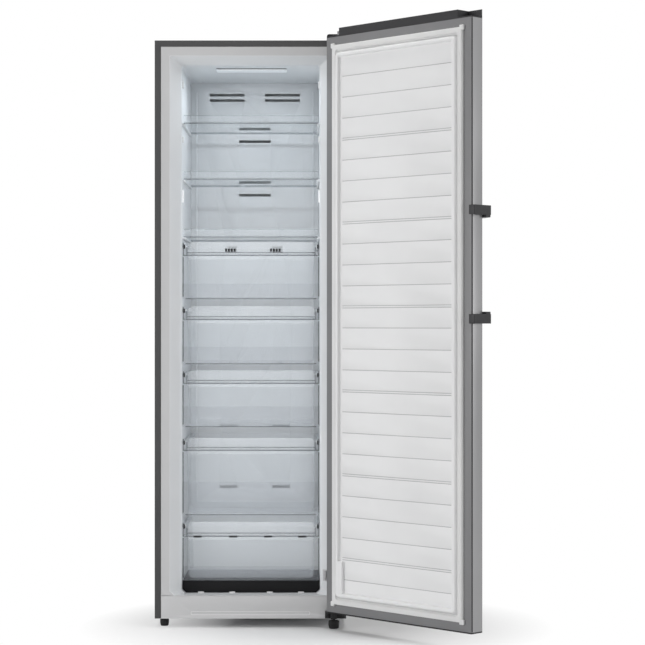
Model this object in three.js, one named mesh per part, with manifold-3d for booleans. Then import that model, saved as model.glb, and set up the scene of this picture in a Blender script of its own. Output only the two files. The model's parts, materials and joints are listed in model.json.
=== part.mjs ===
// Upright single-door freezer, standing with its door open at the hinge stop.
// Millimetres, +Z up. While it is built, X runs to the right seen from the front, Y runs from the
// cabinet's front plane towards its back, and Z is the height above the floor.
// The finished group is moved so that its origin is the middle of its own footprint, on the floor.

import * as THREE from 'three';
import { mergeVertices } from 'three/addons/utils/BufferGeometryUtils.js';
import Module from 'manifold-3d';

// ---------------------------------------------------------------- driving dimensions: cabinet
const cabinetWidth = 595;
const cabinetDepth = 600;
const cabinetTop = 1824;
const cabinetBottom = 28; // underside above the floor
const sheet = 1.2; // thickness of the steel sheet
const seat = 0.3; // gap between two pieces that rest on each other
const shellFlange = 19.5; // front return of the side and top sheet

// ---------------------------------------------------------------- liner and cavity
const linerWall = 2;
const mouthInset = 47; // outer side of the cabinet to the edge of the mouth
const mouthTopInset = 48; // cabinet top to the top edge of the mouth
const mouthChamfer = 14; // lower corners of the mouth
const bevelDepth = 40; // depth of the sloping band behind the mouth
const sideWall = 81.2; // outer side of the cabinet to the cavity wall
const roofWall = 73; // cabinet top to the cavity ceiling
const cavityChamfer = 11; // lower corners of the cavity
const cavityFloor = 100; // height of the cavity floor
const rearWall = 55; // cabinet's back to the cavity's back wall
const cavityDraft = 2.8; // narrowing of each side wall from front to back
const stepDepth = 265; // cabinet's back to the front of the step over the machine room
const stepTop = 326; // height of that step
const stepSlope = 45; // sloping corner of that step

// ---------------------------------------------------------------- machine room and underside
const machineRoofWall = 34; // insulation between the step and the machine room
const foamBase = 46; // underside of the insulation at the front
const panThickness = 2;
const footStemRadius = 4;
const footStemSpare = 8; // left foot's stem above the pan it is screwed into
const footStemGap = 3; // right foot's stem below the hinge arm
const leftFootX = 270; // distance from the middle of the cabinet
const leftFootY = 45;
const leftFootRadius = 14;
const leftFootHeight = 21;
const rightFootX = 258.7;
const rightFootY = -15;
const rightFootRadius = 17;
const rightFootHeight = 25;
const rollerRadius = 12.5;
const rollerWidth = 16;
const rollerX = 250;
const rollerInset = 44; // cabinet's back to the rollers' axis
const axleRadius = 3;
const axleHeadRadius = 5;
const axleHeadThickness = 1.5;
const rollerEar = 2; // thickness of each ear that carries a roller
const rollerEarHalf = 8; // half the ear's length along the cabinet
const rollerEarDrop = 6; // axle's middle to the ear's lower edge
const compressorRadius = 72;
const compressorHeight = 150;
const compressorX = -75;
const compressorInset = 122; // cabinet's back to the compressor's middle
const compressorRim = 3; // welded rim beyond the compressor's shell
const relayReach = 26; // relay box beyond the compressor's shell
const pipeRadius = 4;
const grommetHeight = 12;
const grommetRadius = 8;
const trayHalfWidth = 112;
const trayFrontGap = 22; // machine room's front wall to the drip tray
const trayBackGap = 34; // drip tray to the cabinet's back
const trayDepth = 24;
const trayWall = 1.6;
const trayCorner = 12;
const controlWidth = 44;
const controlDepth = 130;
const controlHeight = 130;
const controlBottom = 96;
const controlFrontGap = 40; // machine room's front wall to the control box
const controlLidInset = 6;
const inletX = 246;
const inletZ = 62;
const inletRadius = 9;
const inletBore = 4;
const inletFlange = 4; // flange beyond the inlet's barrel

// ---------------------------------------------------------------- shelves
const shelfRooms = [179.5, 175.5, 181.5]; // from each shelf to the next above or the ceiling, top to bottom
const lowestShelfGap = 14.5; // top drawer to the lowest shelf's lip
const shelfFront = 55; // front plane to the face of a shelf's lip
const shelfBackGap = 62; // shelf's rear edge to the back cover
const shelfLip = 25; // height of the lip
const trimWall = 2;
const glassThickness = 4;
const glassBelowLipTop = 18; // lip's top edge to the glass's upper face
const shelfSideGap = 2.5; // glass edge to the cavity wall
const shelfRibReach = 9; // how far a shelf's rib stands out from the wall
const studRises = [[112, 135], [117, 136], [110, 150]]; // a lip's lower edge to the ends of the stud over it
const studReach = 5; // how far a stud stands out from the wall
const studFront = 70; // front plane to a stud
const studDepth = 12;

// ---------------------------------------------------------------- drawers
const drawerHeights = [179, 182, 177, 241]; // top to bottom; the lowest one fills the room that is left
const drawerGaps = [22, 20, 35, 22]; // under each drawer but the lowest
const gripDrops = [40, 40, 38, 36, 42]; // a drawer's top edge to its finger ledge
const drawerOverStep = 18; // step's top to the drawer above it
const drawerOverDeck = 2;
const drawerFront = 50; // front plane to the face of a drawer
const drawerSideGap = 1.8; // drawer front's edge to the cavity wall
const drawerPanel = 3; // thickness of a drawer's front panel
const drawerCorner = 5;
const drawerPanelReturn = 9; // depth of the panel's turned-back edge
const gripDepth = 14; // depth of the finger ledge
const gripBandInset = 16; // end of the set-back band to the end of the panel
const gripBandRadius = 12;
const tubWall = 2.5;
const tubDraft = 5; // narrowing of each tub side from rim to floor
const tubChamfer = 14;
const tubRim = 10; // width of the rim that runs on the ledges
const tubRimThickness = 3;
const tubTopDrop = 6; // drawer's top edge to the tub's rim
const ledgeHeight = 7;
const ledgeStart = 66; // front plane to the front end of a ledge
const tubSideClearance = 1.6; // rim to cavity wall
const tubBackClearance = 20; // lowest tub to the step behind it
const deepTubClearance = 22; // other tubs to the back cover

// ---------------------------------------------------------------- back cover and cold-air parts
const coldSpace = 53; // cavity's back wall to the back cover's face
const coverThickness = 3;
const slotHeight = 9; // long slots of the back cover
const slotCorner = 1.5;
const upperSlotDrops = [40, 58]; // ceiling to the middle of each upper slot
const upperSlotNear = 34; // middle of the cover to a slot's near end
const upperSlotFar = 151;
const firstShelfSlotRises = [25.5, -16.5]; // a shelf lip's lower edge to the middle of each slot behind it
const secondShelfSlotRises = [22, -21];
const shelfSlotHalf = 53;
const louvreDrop = 7; // first drawer's top edge to the middle louvre
const louvrePitch = 8;
const louvreHeight = 4;
const louvreNear = 58;
const louvreFar = 94;
const ductDrop = 4; // second drawer's top edge to the middle of the pressed field behind it
const ductHeight = 18;
const ductDepth = 1.2;
const ductNear = 62;
const ductFar = 120;
const returnRise = 18; // third and fourth drawer's top edge to the return slot above
const lowReturnRise = 72; // step's top to the lowest return slot
const returnHeight = 10;
const returnNear = 58;
const returnFar = 118;
const fanHeight = 1290;
const fanRadius = 52;
const fanBlades = 7;
const fanBladeThickness = 2;
const fanBladePitch = 38; // degrees
const fanHubRadius = 14;
const fanDepth = 18;
const fanGap = 5; // back cover to the fan
const fanMotorGap = 3; // fan to its motor
const fanShaftRadius = 2.5;
const fanMotorRadius = 22;
const fanBracketReach = 64;
const fanBracketThickness = 3;
const coilWidth = 340;
const coilBottom = 700;
const coilTop = 980;
const coilFrontGap = 9; // back cover to the coil
const coilWeb = 10; // solid rear of the finned block
const coilBendReach = 16;
const coilTubeRadius = 4;
const lampHalfWidth = 111;
const lampFront = 109;
const lampDepth = 56;
const lampDrop = 6;
const lampCorner = 8;
const lampBoardMargin = 5;
const lampBoardThickness = 1.6;

// ---------------------------------------------------------------- door
const doorGap = 10; // closed door's inner face to the cabinet's front plane
const doorThickness = 48.8;
const doorBottom = 57.5;
const doorRim = 26; // height of the front skin above the door's body
const doorOpenAngle = 133.7; // degrees
const pinInset = 22; // hinge pin to the door's hinge edge
const pinDepth = 33; // hinge pin to the door's inner face
const pinRadius = 5;
const bushRadius = 9;
const bushDepth = 16;
const skinCornerRadius = 3;
const frameEdge = 3.2; // visible edge of the inner frame
const frameSeam = 2.3; // dark joint between the frame and the skin
const frameWidth = 44.5;
const gasketInset = 25.5;
const gasketWidth = 18.5;
const gasketHeight = 9.4;
const gasketNubRadius = 6;
const dykeInset = 47; // door edge to the foot of the liner's raised ridge
const dykeDraft = 7;
const dykeHeight = 16;
const dykeTopWidth = 6;
const dykeInnerSlope = 3;
const dykeCornerRadius = 16;
const panelHeight = 5; // liner panel above the frame's face
const dykePadWidth = 19; // extra width of the ridge at the door switch
const dykePadTop = 219;
const grooveCount = 25;
const grooveTopInset = 125; // door's top to the highest groove
const grooveBottomInset = 105.5; // door's bottom to the lowest groove
const grooveWidth = 3;
const grooveDepth = 1.1;
const grooveTwinSpacing = 8;
const grooveEndInset = 8;
const capPocket = 53.5; // length of the low part at each end of the top cap
const capPlate = 3;
const bottomCapThickness = 4;
const bushFloor = 3; // closed end of each bush

// ---------------------------------------------------------------- handle
const handleTop = 1285;
const handleLength = 341;
const bracketHeight = 27.5;
const bracketExtra = 7; // extra height of the part in front of the skin
const bracketProud = 13.6; // bracket beyond the door's free edge
const bracketWrap = 8; // bracket over the inner frame
const bracketLip = 2.5;
const bracketReach = 21; // bracket in front of the skin, at the door's edge
const bracketRound = 3; // blunted outer corners
const barInset = 41.5; // door's free edge to the bar
const barWidth = 22;
const barThickness = 12;
const barStandoff = 34; // skin to the bar

// ---------------------------------------------------------------- hinges
const armThickness = 4;
const armLift = 5.5; // cabinet top to the underside of the arm
const armRootLeft = 30; // hinge pin to the sides of the arm's root
const armRootRight = 17;
const armRootDepth = 90;
const armBolt = 6; // radius of each bolt's head
const pinRelief = 4; // end of the upper pin to the floor of its bush
const hingeCoverHeight = 20;
const hingeCoverDepth = 108;
const hingeCoverReach = 38; // pin to the cover's end, away from the cabinet side
const hingeCoverWall = 2;
const hingeCoverFront = 3; // front plane to the cover
const hingeCoverInset = 1.5; // cabinet side to the cover
const hingeCoverRound = 7;
const lowerPlateLeft = 231.5;
const lowerPlateRight = 292.5;
const lowerPlateThickness = 4;
const lowerPlateTop = 52.3;
const lowerArmShoulder = 18; // front plate to where the arm narrows
const lowerArmNose = 11; // hinge pin to the arm's front end
const lowerArmHalf = 12; // half the arm's width at the pin
const hingeScrewRadius = 4;
const hingeScrewHeight = 2.5;
const hingeScrewInset = 9;
const footBossRadius = 10;

// ---------------------------------------------------------------- door switch
const switchX = 231.6;
const switchZ = 160;
const plungerWidth = 6;
const plungerHeight = 28;
const plungerTip = 6.5; // front plane to the plunger's tip
const plungerLength = 18;
const plungerTravel = 6;
const switchBezel = 4;
const switchProud = 3; // housing in front of the sloping band

// ---------------------------------------------------------------- front base
const embossHalfWidth = 185;
const embossBottom = 39;
const embossTop = 51;
const embossDepth = 0.6;
const apronReturn = 24; // depth of the front strip's lower return
const deckFront = 63;
const deckTop = 138;
const deckThickness = 2.5;
const deckClipPlaces = [-156.8, -58.9, 58.9, 156.8];
const deckClipWidth = 18;
const deckClipHeight = 4;
const deckClipDepth = 9;

// ---------------------------------------------------------------- derived values
const halfWidth = cabinetWidth / 2;
const beyond = 1; // how far a cutting block runs past the face it cuts
const mouthHalf = halfWidth - mouthInset;
const mouthTop = cabinetTop - mouthTopInset;
const cavityHalf = halfWidth - sideWall;
const cavityTop = cabinetTop - roofWall;
const flangeFace = 0.2; // liner's flange lies this far behind the shell's flange
const foamFront = flangeFace + linerWall + seat;
const foamBack = cabinetDepth - sheet - seat;
const cavityBack = cabinetDepth - rearWall;
const coverFront = cavityBack - coldSpace;
const stepFront = cabinetDepth - stepDepth;
const machineFront = stepFront + machineRoofWall;
const machineTop = stepTop - machineRoofWall;
const doorInner = -doorGap;
const doorOuter = doorInner - doorThickness;
const doorTop = cabinetTop;
const seamFace = doorInner - frameEdge;
const skinEnd = seamFace - frameSeam;
const frameBack = skinEnd - seat;
const pinX = halfWidth - pinInset;
const pinY = doorInner - pinDepth;
const armBottom = cabinetTop + armLift;
const armTop = armBottom + armThickness;
const coverBack = coverFront + coverThickness;
const impellerFront = coverBack + fanGap;
const rollerY = cabinetDepth - rollerInset;
const compressorY = cabinetDepth - compressorInset;
const shelfBack = coverFront - shelfBackGap;
const grooveTop = doorTop - grooveTopInset;
const grooveBottom = doorBottom + grooveBottomInset;
const drawers = stackDrawers();
const shelfLipBottoms = spreadShelves();

// Heights of every drawer, from the step up to the top one, and the lowest one under the step's level.
function stackDrawers() {
  const made = [];
  let bottom = stepTop + drawerOverStep;
  for (let i = drawerHeights.length - 1; i >= 0; i -= 1) {
    const top = bottom + drawerHeights[i];
    made.unshift({ top, bottom, grip: top - gripDrops[i] });
    if (i > 0) bottom = top + drawerGaps[i - 1];
  }
  const lowestTop = stepTop + drawerOverStep - drawerGaps[drawerHeights.length - 1];
  made.push({
    top: lowestTop,
    bottom: deckTop + drawerOverDeck,
    grip: lowestTop - gripDrops[drawerHeights.length],
  });
  return made;
}

// Lower edges of the shelf lips, top to bottom; the rooms fill the height between drawers and ceiling.
function spreadShelves() {
  const lowest = drawers[0].top + lowestShelfGap;
  const spread = (cavityTop - lowest) / shelfRooms.reduce((sum, room) => sum + room);
  let height = cavityTop;
  return shelfRooms.map((room) => {
    height -= room * spread;
    return height;
  });
}

const wasm = await Module();
wasm.setup();

// ---------------------------------------------------------------- solids from three.js geometry

// A closed solid from a three.js geometry, with its faces turned outwards.
function solidFrom(geometry) {
  const bare = geometry.index ? geometry.toNonIndexed() : geometry.clone();
  bare.deleteAttribute('normal');
  bare.deleteAttribute('uv');
  const merged = mergeVertices(bare, 1e-4);
  const corners = merged.index.array;
  const kept = [];
  for (let i = 0; i < corners.length; i += 3) {
    const [a, b, c] = [corners[i], corners[i + 1], corners[i + 2]];
    if (a !== b && b !== c && c !== a) kept.push(a, b, c);
  }
  const vertProperties = new Float32Array(merged.attributes.position.array);
  const made = new wasm.Manifold(
    new wasm.Mesh({ numProp: 3, vertProperties, triVerts: new Uint32Array(kept) }),
  );
  if (made.volume() > 0) return made;
  kept.reverse();
  return new wasm.Manifold(
    new wasm.Mesh({ numProp: 3, vertProperties, triVerts: new Uint32Array(kept) }),
  );
}

function block(x0, x1, y0, y1, z0, z1) {
  const box = new THREE.BoxGeometry(x1 - x0, y1 - y0, z1 - z0);
  box.translate((x0 + x1) / 2, (y0 + y1) / 2, (z0 + z1) / 2);
  return solidFrom(box);
}

function outline(points) {
  return new THREE.Shape(points.map(([a, b]) => new THREE.Vector2(a, b)));
}

// A rectangle with four round corners, as a three.js shape.
function roundedRectangle(a0, a1, b0, b1, radius) {
  const shape = new THREE.Shape();
  shape.absarc(a1 - radius, b0 + radius, radius, -Math.PI / 2, 0);
  shape.absarc(a1 - radius, b1 - radius, radius, 0, Math.PI / 2);
  shape.absarc(a0 + radius, b1 - radius, radius, Math.PI / 2, Math.PI);
  shape.absarc(a0 + radius, b0 + radius, radius, Math.PI, (3 * Math.PI) / 2);
  return shape;
}

function extrusion(shape, depth, curveSegments) {
  return new THREE.ExtrudeGeometry(shape, { depth, bevelEnabled: false, curveSegments });
}

// Prisms: the shape's two axes are X,Y for prismZ, X,Z for prismY and Y,Z for prismX.
function prismZ(shape, z0, z1, curveSegments = 3) {
  return solidFrom(extrusion(shape, z1 - z0, curveSegments).translate(0, 0, z0));
}

function prismY(shape, y0, y1, curveSegments = 3) {
  const geometry = extrusion(shape, y1 - y0, curveSegments).rotateX(Math.PI / 2);
  return solidFrom(geometry.translate(0, y1, 0));
}

function prismX(shape, x0, x1, curveSegments = 3) {
  const turn = new THREE.Matrix4().makeBasis(
    new THREE.Vector3(0, 1, 0),
    new THREE.Vector3(0, 0, 1),
    new THREE.Vector3(1, 0, 0),
  );
  const geometry = extrusion(shape, x1 - x0, curveSegments).applyMatrix4(turn);
  return solidFrom(geometry.translate(x0, 0, 0));
}

// Cylinders along each axis, centred on the two other coordinates.
function cylinderZ(x, y, radius, z0, z1, sides = 24) {
  const geometry = new THREE.CylinderGeometry(radius, radius, z1 - z0, sides);
  return solidFrom(geometry.rotateX(Math.PI / 2).translate(x, y, (z0 + z1) / 2));
}

function cylinderY(x, z, radius, y0, y1, sides = 24) {
  const geometry = new THREE.CylinderGeometry(radius, radius, y1 - y0, sides);
  return solidFrom(geometry.translate(x, (y0 + y1) / 2, z));
}

function cylinderX(y, z, radius, x0, x1, sides = 24) {
  const geometry = new THREE.CylinderGeometry(radius, radius, x1 - x0, sides);
  return solidFrom(geometry.rotateZ(Math.PI / 2).translate((x0 + x1) / 2, y, z));
}

// A turned piece about a vertical axis; the profile is radius, height from one end to the other.
function turned(x, y, profile, sides = 32) {
  const points = profile.map(([radius, height]) => new THREE.Vector2(radius, height));
  return solidFrom(new THREE.LatheGeometry(points, sides).rotateX(Math.PI / 2).translate(x, y, 0));
}

// A loft along Y through convex outlines that all have the same number of X,Z points.
function loftY(sections) {
  const positions = [];
  const count = sections[0].points.length;
  const corner = (section, index) => {
    const [x, z] = section.points[index % count];
    return [x, section.y, z];
  };
  for (let s = 0; s + 1 < sections.length; s += 1) {
    for (let i = 0; i < count; i += 1) {
      const a = corner(sections[s], i);
      const b = corner(sections[s], i + 1);
      const c = corner(sections[s + 1], i + 1);
      const d = corner(sections[s + 1], i);
      positions.push(...a, ...b, ...c, ...a, ...c, ...d);
    }
  }
  const first = sections[0];
  const last = sections[sections.length - 1];
  for (let i = 1; i + 1 < count; i += 1) {
    positions.push(...corner(first, 0), ...corner(first, i + 1), ...corner(first, i));
    positions.push(...corner(last, 0), ...corner(last, i), ...corner(last, i + 1));
  }
  const geometry = new THREE.BufferGeometry();
  geometry.setAttribute('position', new THREE.Float32BufferAttribute(positions, 3));
  return solidFrom(geometry);
}

// Points of a rectangle with round corners, anticlockwise, for a loft.
function roundPoints(x0, x1, z0, z1, radius, steps = 3) {
  const centres = [
    [x1 - radius, z0 + radius, -90],
    [x1 - radius, z1 - radius, 0],
    [x0 + radius, z1 - radius, 90],
    [x0 + radius, z0 + radius, 180],
  ];
  const points = [];
  for (const [x, z, start] of centres) {
    for (let i = 0; i <= steps; i += 1) {
      const angle = THREE.MathUtils.degToRad(start + (90 * i) / steps);
      points.push([x + radius * Math.cos(angle), z + radius * Math.sin(angle)]);
    }
  }
  return points;
}

function union(solids) {
  return solids.reduce((sum, next) => sum.add(next));
}

// ---------------------------------------------------------------- materials

function finish(color, roughness, metalness, opacity = 1) {
  return new THREE.MeshStandardMaterial({
    color,
    roughness,
    metalness,
    opacity,
    transparent: opacity < 1,
  });
}

const darkSheet = finish(0x47484a, 0.6, 0.5);
const greyFlange = finish(0xb4b5b6, 0.5, 0);
const whiteLiner = finish(0xe4e7ea, 0.45, 0);
const insulation = finish(0xe6d9b0, 0.95, 0);
const clearGlass = finish(0xcfe4ea, 0.05, 0, 0.35);
const clearPlastic = finish(0xdfe8ee, 0.12, 0, 0.4);
const blackPlastic = finish(0x232426, 0.5, 0);
const zincSteel = finish(0xa5a8ab, 0.45, 0.9);
const brushedSteel = finish(0xa6a7a8, 0.35, 0.9);
const coilMetal = finish(0xc4c6c9, 0.4, 0.9);
const darkRubber = finish(0x2a2a2b, 0.8, 0);
const greyFrame = finish(0x707173, 0.55, 0);
const whiteRubber = finish(0xdedede, 0.7, 0);
const blackEnamel = finish(0x1c1c1d, 0.35, 0.3);

// ---------------------------------------------------------------- cabinet

function cabinetShell() {
  const outer = block(-halfWidth, halfWidth, 0, cabinetDepth, cabinetBottom, cabinetTop);
  const inside = block(
    -halfWidth + sheet, halfWidth - sheet, sheet, cabinetDepth + beyond,
    cabinetBottom - beyond, cabinetTop - sheet,
  );
  const front = block(
    -halfWidth + shellFlange, halfWidth - shellFlange, -beyond, sheet + beyond,
    cabinetBottom - beyond, cabinetTop - shellFlange,
  );
  return outer.subtract(inside).subtract(front);
}

// X half-width of the cavity at a depth behind the bevel.
function cavityHalfAt(y) {
  return cavityHalf - (cavityDraft * (y - bevelDepth)) / (cavityBack - bevelDepth);
}

// Outline of the mouth or the cavity: a rectangle with its two lower corners cut off.
function cavityOutline(half, bottom, top, chamfer) {
  return [
    [-half + chamfer, bottom], [half - chamfer, bottom], [half, bottom + chamfer],
    [half, top], [-half, top], [-half, bottom + chamfer],
  ];
}

// The hollow of the liner, grown on every side by the wall asked for.
function cavitySolid(grow) {
  const mouth = cavityOutline(
    mouthHalf + grow, cavityFloor - grow, mouthTop + grow, mouthChamfer,
  );
  const front = cavityOutline(
    cavityHalf + grow, cavityFloor - grow, cavityTop + grow, cavityChamfer,
  );
  const back = cavityOutline(
    cavityHalf - cavityDraft + grow, cavityFloor - grow, cavityTop + grow, cavityChamfer,
  );
  const room = loftY([
    { y: -beyond, points: mouth },
    { y: 0, points: mouth },
    { y: bevelDepth, points: front },
    { y: cavityBack + grow, points: back },
  ]);
  const step = outline([
    [stepFront + grow, cavityFloor - grow - beyond],
    [stepFront + grow, stepTop - stepSlope - grow],
    [stepFront + stepSlope + grow, stepTop - grow],
    [cavityBack + grow + beyond, stepTop - grow],
    [cavityBack + grow + beyond, cavityFloor - grow - beyond],
  ]);
  return room.subtract(prismX(step, -halfWidth, halfWidth));
}

// A pair of ribs on the cavity's side walls, left and right.
function sideRibs(reach, y0, y1, z0, z1) {
  return [
    block(-halfWidth, -cavityHalf + reach, y0, y1, z0, z1),
    block(cavityHalf - reach, halfWidth, y0, y1, z0, z1),
  ];
}

function glassBottom(lipBottom) {
  return lipBottom + shelfLip - glassBelowLipTop - glassThickness;
}

function tubRimTop(heights) {
  return heights.top - tubTopDrop;
}

function switchPocket(clearance) {
  const halfX = plungerWidth / 2 + switchBezel + clearance;
  const halfZ = plungerHeight / 2 + switchBezel + clearance;
  const back = plungerTip + plungerLength + plungerTravel + switchBezel + clearance;
  return block(switchX - halfX, switchX + halfX, 0, back, switchZ - halfZ, switchZ + halfZ);
}

function innerLiner() {
  const walls = cavitySolid(linerWall);
  const flange = block(
    -halfWidth + shellFlange + seat, halfWidth - shellFlange - seat, flangeFace,
    flangeFace + linerWall, cavityFloor, cabinetTop - shellFlange - seat,
  );
  const forward = block(
    -halfWidth, halfWidth, -2 * beyond, flangeFace, 0, cabinetTop,
  );
  const ribs = [];
  shelfLipBottoms.forEach((lipBottom, index) => {
    const top = glassBottom(lipBottom) - seat;
    ribs.push(...sideRibs(shelfRibReach, ledgeStart, shelfBack, top - ledgeHeight, top));
    const [low, high] = studRises[index].map((rise) => lipBottom + rise);
    ribs.push(...sideRibs(studReach, studFront, studFront + studDepth, low, high));
  });
  drawers.forEach((heights, index) => {
    const top = tubRimTop(heights) - tubRimThickness - seat;
    const back = tubBack(index);
    const reach = tubSideClearance + tubRim - seat;
    ribs.push(...sideRibs(reach, ledgeStart, back, top - ledgeHeight, top));
  });
  for (const x of deckClipPlaces) {
    ribs.push(block(
      x - deckClipWidth / 2, x + deckClipWidth / 2, deckFront - deckClipDepth, deckFront - seat,
      cavityFloor - linerWall, cavityFloor + deckClipHeight,
    ));
  }
  return walls.add(flange).subtract(forward).subtract(cavitySolid(0))
    .add(union(ribs).intersect(cavitySolid(linerWall / 2))).subtract(switchPocket(seat));
}

function foamBody() {
  const outer = block(
    -halfWidth + sheet + seat, halfWidth - sheet - seat, foamFront, foamBack,
    foamBase, cabinetTop - sheet - seat,
  );
  const machineRoom = block(
    -halfWidth, halfWidth, machineFront, cabinetDepth, 0, machineTop,
  );
  return outer
    .subtract(cavitySolid(linerWall + seat))
    .subtract(machineRoom)
    .subtract(switchPocket(2 * seat));
}

function backPanel() {
  const edge = halfWidth - sheet - seat;
  const plate = block(
    -edge, edge, cabinetDepth - sheet, cabinetDepth, machineTop + seat, cabinetTop - sheet - seat,
  );
  const beadWidth = 14;
  const beadEnd = 90;
  const beads = [-1, 0, 1].map((place) => prismY(
    roundedRectangle(
      place * halfWidth * 0.6 - beadWidth / 2, place * halfWidth * 0.6 + beadWidth / 2,
      machineTop + beadEnd, cabinetTop - beadEnd, beadWidth / 2 - seat,
    ),
    cabinetDepth - sheet / 2, cabinetDepth + beyond, 2,
  ));
  return plate.subtract(union(beads));
}

function frontApron() {
  const edge = halfWidth - shellFlange - seat;
  const underFloor = cavityFloor - linerWall - seat;
  const lowerReturnTop = cabinetBottom + panThickness + seat;
  const plate = block(-edge, edge, flangeFace, flangeFace + linerWall, cabinetBottom, cavityFloor - seat);
  const floorNotch = mouthHalf - mouthChamfer + 2 * linerWall + seat;
  const notch = block(-floorNotch, floorNotch, -beyond, foamFront + beyond, underFloor, cavityFloor);
  const lowerReturn = block(
    -edge, edge, flangeFace, apronReturn, lowerReturnTop, lowerReturnTop + linerWall,
  );
  const embossCorner = (embossTop - embossBottom) / 3;
  const emboss = prismY(
    roundedRectangle(-embossHalfWidth, embossHalfWidth, embossBottom, embossTop, embossCorner),
    -beyond, flangeFace + embossDepth,
  );
  const footHole = cylinderZ(-leftFootX, leftFootY, leftFootRadius, 0, cavityFloor);
  return plate.subtract(notch).add(lowerReturn).subtract(emboss).subtract(footHole);
}

function deckPanel() {
  const half = cavityHalfAt(stepFront) - seat;
  const back = stepFront - seat;
  const profile = outline([
    [deckFront, cavityFloor + seat], [deckFront + deckThickness, cavityFloor + seat],
    [deckFront + deckThickness, deckTop - deckThickness], [back - deckThickness, deckTop - deckThickness],
    [back - deckThickness, cavityFloor + seat], [back, cavityFloor + seat],
    [back, deckTop], [deckFront + deckThickness, deckTop], [deckFront, deckTop - deckThickness],
  ]);
  const room = loftY([
    {
      y: 0,
      points: cavityOutline(half, cavityFloor + seat, cavityTop, cavityChamfer),
    },
    {
      y: cavityBack,
      points: cavityOutline(half, cavityFloor + seat, cavityTop, cavityChamfer),
    },
  ]);
  return prismX(profile, -halfWidth, halfWidth).intersect(room);
}

// ---------------------------------------------------------------- underside and machine room

function basePan() {
  const edge = halfWidth - sheet - seat;
  const plateTop = cabinetBottom + panThickness;
  let pan = block(-edge, edge, foamFront + seat, foamBack, cabinetBottom, plateTop);
  pan = pan.subtract(cylinderZ(
    -leftFootX, leftFootY, footStemRadius + seat, 0, cabinetTop / 2,
  ));
  const earLow = rollerRadius - rollerEarDrop;
  for (const side of [-1, 1]) {
    for (const end of [-1, 1]) {
      const inner = side * rollerX + end * (rollerWidth / 2 + seat);
      const outer = inner + end * rollerEar;
      pan = pan.add(block(
        Math.min(inner, outer), Math.max(inner, outer),
        rollerY - rollerEarHalf, rollerY + rollerEarHalf,
        earLow, cabinetBottom + panThickness / 2,
      ));
    }
    pan = pan.subtract(cylinderX(
      rollerY, rollerRadius, axleRadius + seat,
      side * rollerX - rollerWidth, side * rollerX + rollerWidth,
    ));
  }
  return pan;
}

function roller(side) {
  const x0 = side * rollerX - rollerWidth / 2;
  const x1 = side * rollerX + rollerWidth / 2;
  const tread = cylinderX(rollerY, rollerRadius, rollerRadius, x0, x1, 32);
  return tread.subtract(cylinderX(
    rollerY, rollerRadius, axleRadius + seat, x0 - beyond, x1 + beyond,
  ));
}

function rollerAxle(side) {
  const reach = rollerWidth / 2 + seat + rollerEar;
  const headStart = side * rollerX + reach + seat;
  const shaft = cylinderX(rollerY, rollerRadius, axleRadius, side * rollerX - reach, headStart);
  const head = cylinderX(
    rollerY, rollerRadius, axleHeadRadius, headStart, headStart + axleHeadThickness,
  );
  return shaft.add(head);
}

// A levelling foot: a round sole with a threaded stem, in one turned piece.
function levellingFoot(x, y, radius, height, stemTop) {
  return turned(x, y, [
    [0, 0], [radius * 0.78, 0], [radius * 0.9, 2.5], [radius, height * 0.55], [radius, height - 1.5],
    [radius - 1.5, height], [footStemRadius, height], [footStemRadius, stemTop], [0, stemTop],
  ], 20);
}

function compressor() {
  const base = cabinetBottom + panThickness + grommetHeight;
  const seam = base + compressorHeight * 0.45;
  const top = base + compressorHeight;
  const radius = compressorRadius;
  const shell = turned(compressorX, compressorY, [
    [0, base], [radius * 0.7, base], [radius * 0.93, base + radius / 4], [radius, seam - radius / 6],
    [radius, seam - compressorRim], [radius + compressorRim, seam - compressorRim],
    [radius + compressorRim, seam + compressorRim], [radius, seam + compressorRim],
    [radius, top - radius * 0.85], [radius * 0.93, top - radius * 0.44], [radius * 0.7, top - radius / 8],
    [radius * 0.35, top], [0, top],
  ], 20);
  const plateHalfX = radius + 22;
  const plateHalfY = radius - 8;
  const plate = block(
    compressorX - plateHalfX, compressorX + plateHalfX, compressorY - plateHalfY,
    compressorY + plateHalfY, base - panThickness / 2, base + panThickness,
  );
  const grommetInset = grommetRadius + 3;
  const grommets = [-1, 1].flatMap((sx) => [-1, 1].map((sy) => cylinderZ(
    compressorX + sx * (plateHalfX - grommetInset), compressorY + sy * (plateHalfY - grommetInset),
    grommetRadius, cabinetBottom + panThickness + seat, base + 2 * panThickness, 16,
  )));
  const relayBox = block(
    compressorX + radius - 2 * compressorRim, compressorX + radius + relayReach,
    compressorY - relayReach, compressorY + relayReach, seam - 34, seam + 28,
  );
  const stub = cylinderX(
    compressorY - 40, seam + 12, pipeRadius, compressorX - radius - relayReach,
    compressorX - radius / 2, 12,
  );
  return union([shell, plate, ...grommets, relayBox, stub]);
}

function dripTray() {
  const top = machineTop - seat;
  const outerShape = (inset) => roundedRectangle(
    compressorX - trayHalfWidth + inset, compressorX + trayHalfWidth - inset,
    machineFront + trayFrontGap + inset, cabinetDepth - trayBackGap - inset, trayCorner,
  );
  return prismZ(outerShape(0), top - trayDepth, top)
    .subtract(prismZ(outerShape(trayWall), top - trayDepth + trayWall, top + beyond));
}

function controlBox() {
  const right = halfWidth - sheet - seat;
  const left = right - controlWidth;
  const front = machineFront + controlFrontGap;
  const housing = block(
    left, right, front, front + controlDepth, controlBottom, controlBottom + controlHeight,
  );
  const lidRecess = block(
    left - beyond, left + beyond, front + controlLidInset, front + controlDepth - controlLidInset,
    controlBottom + controlLidInset, controlBottom + controlHeight - controlLidInset,
  );
  return housing.subtract(lidRecess);
}

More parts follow.
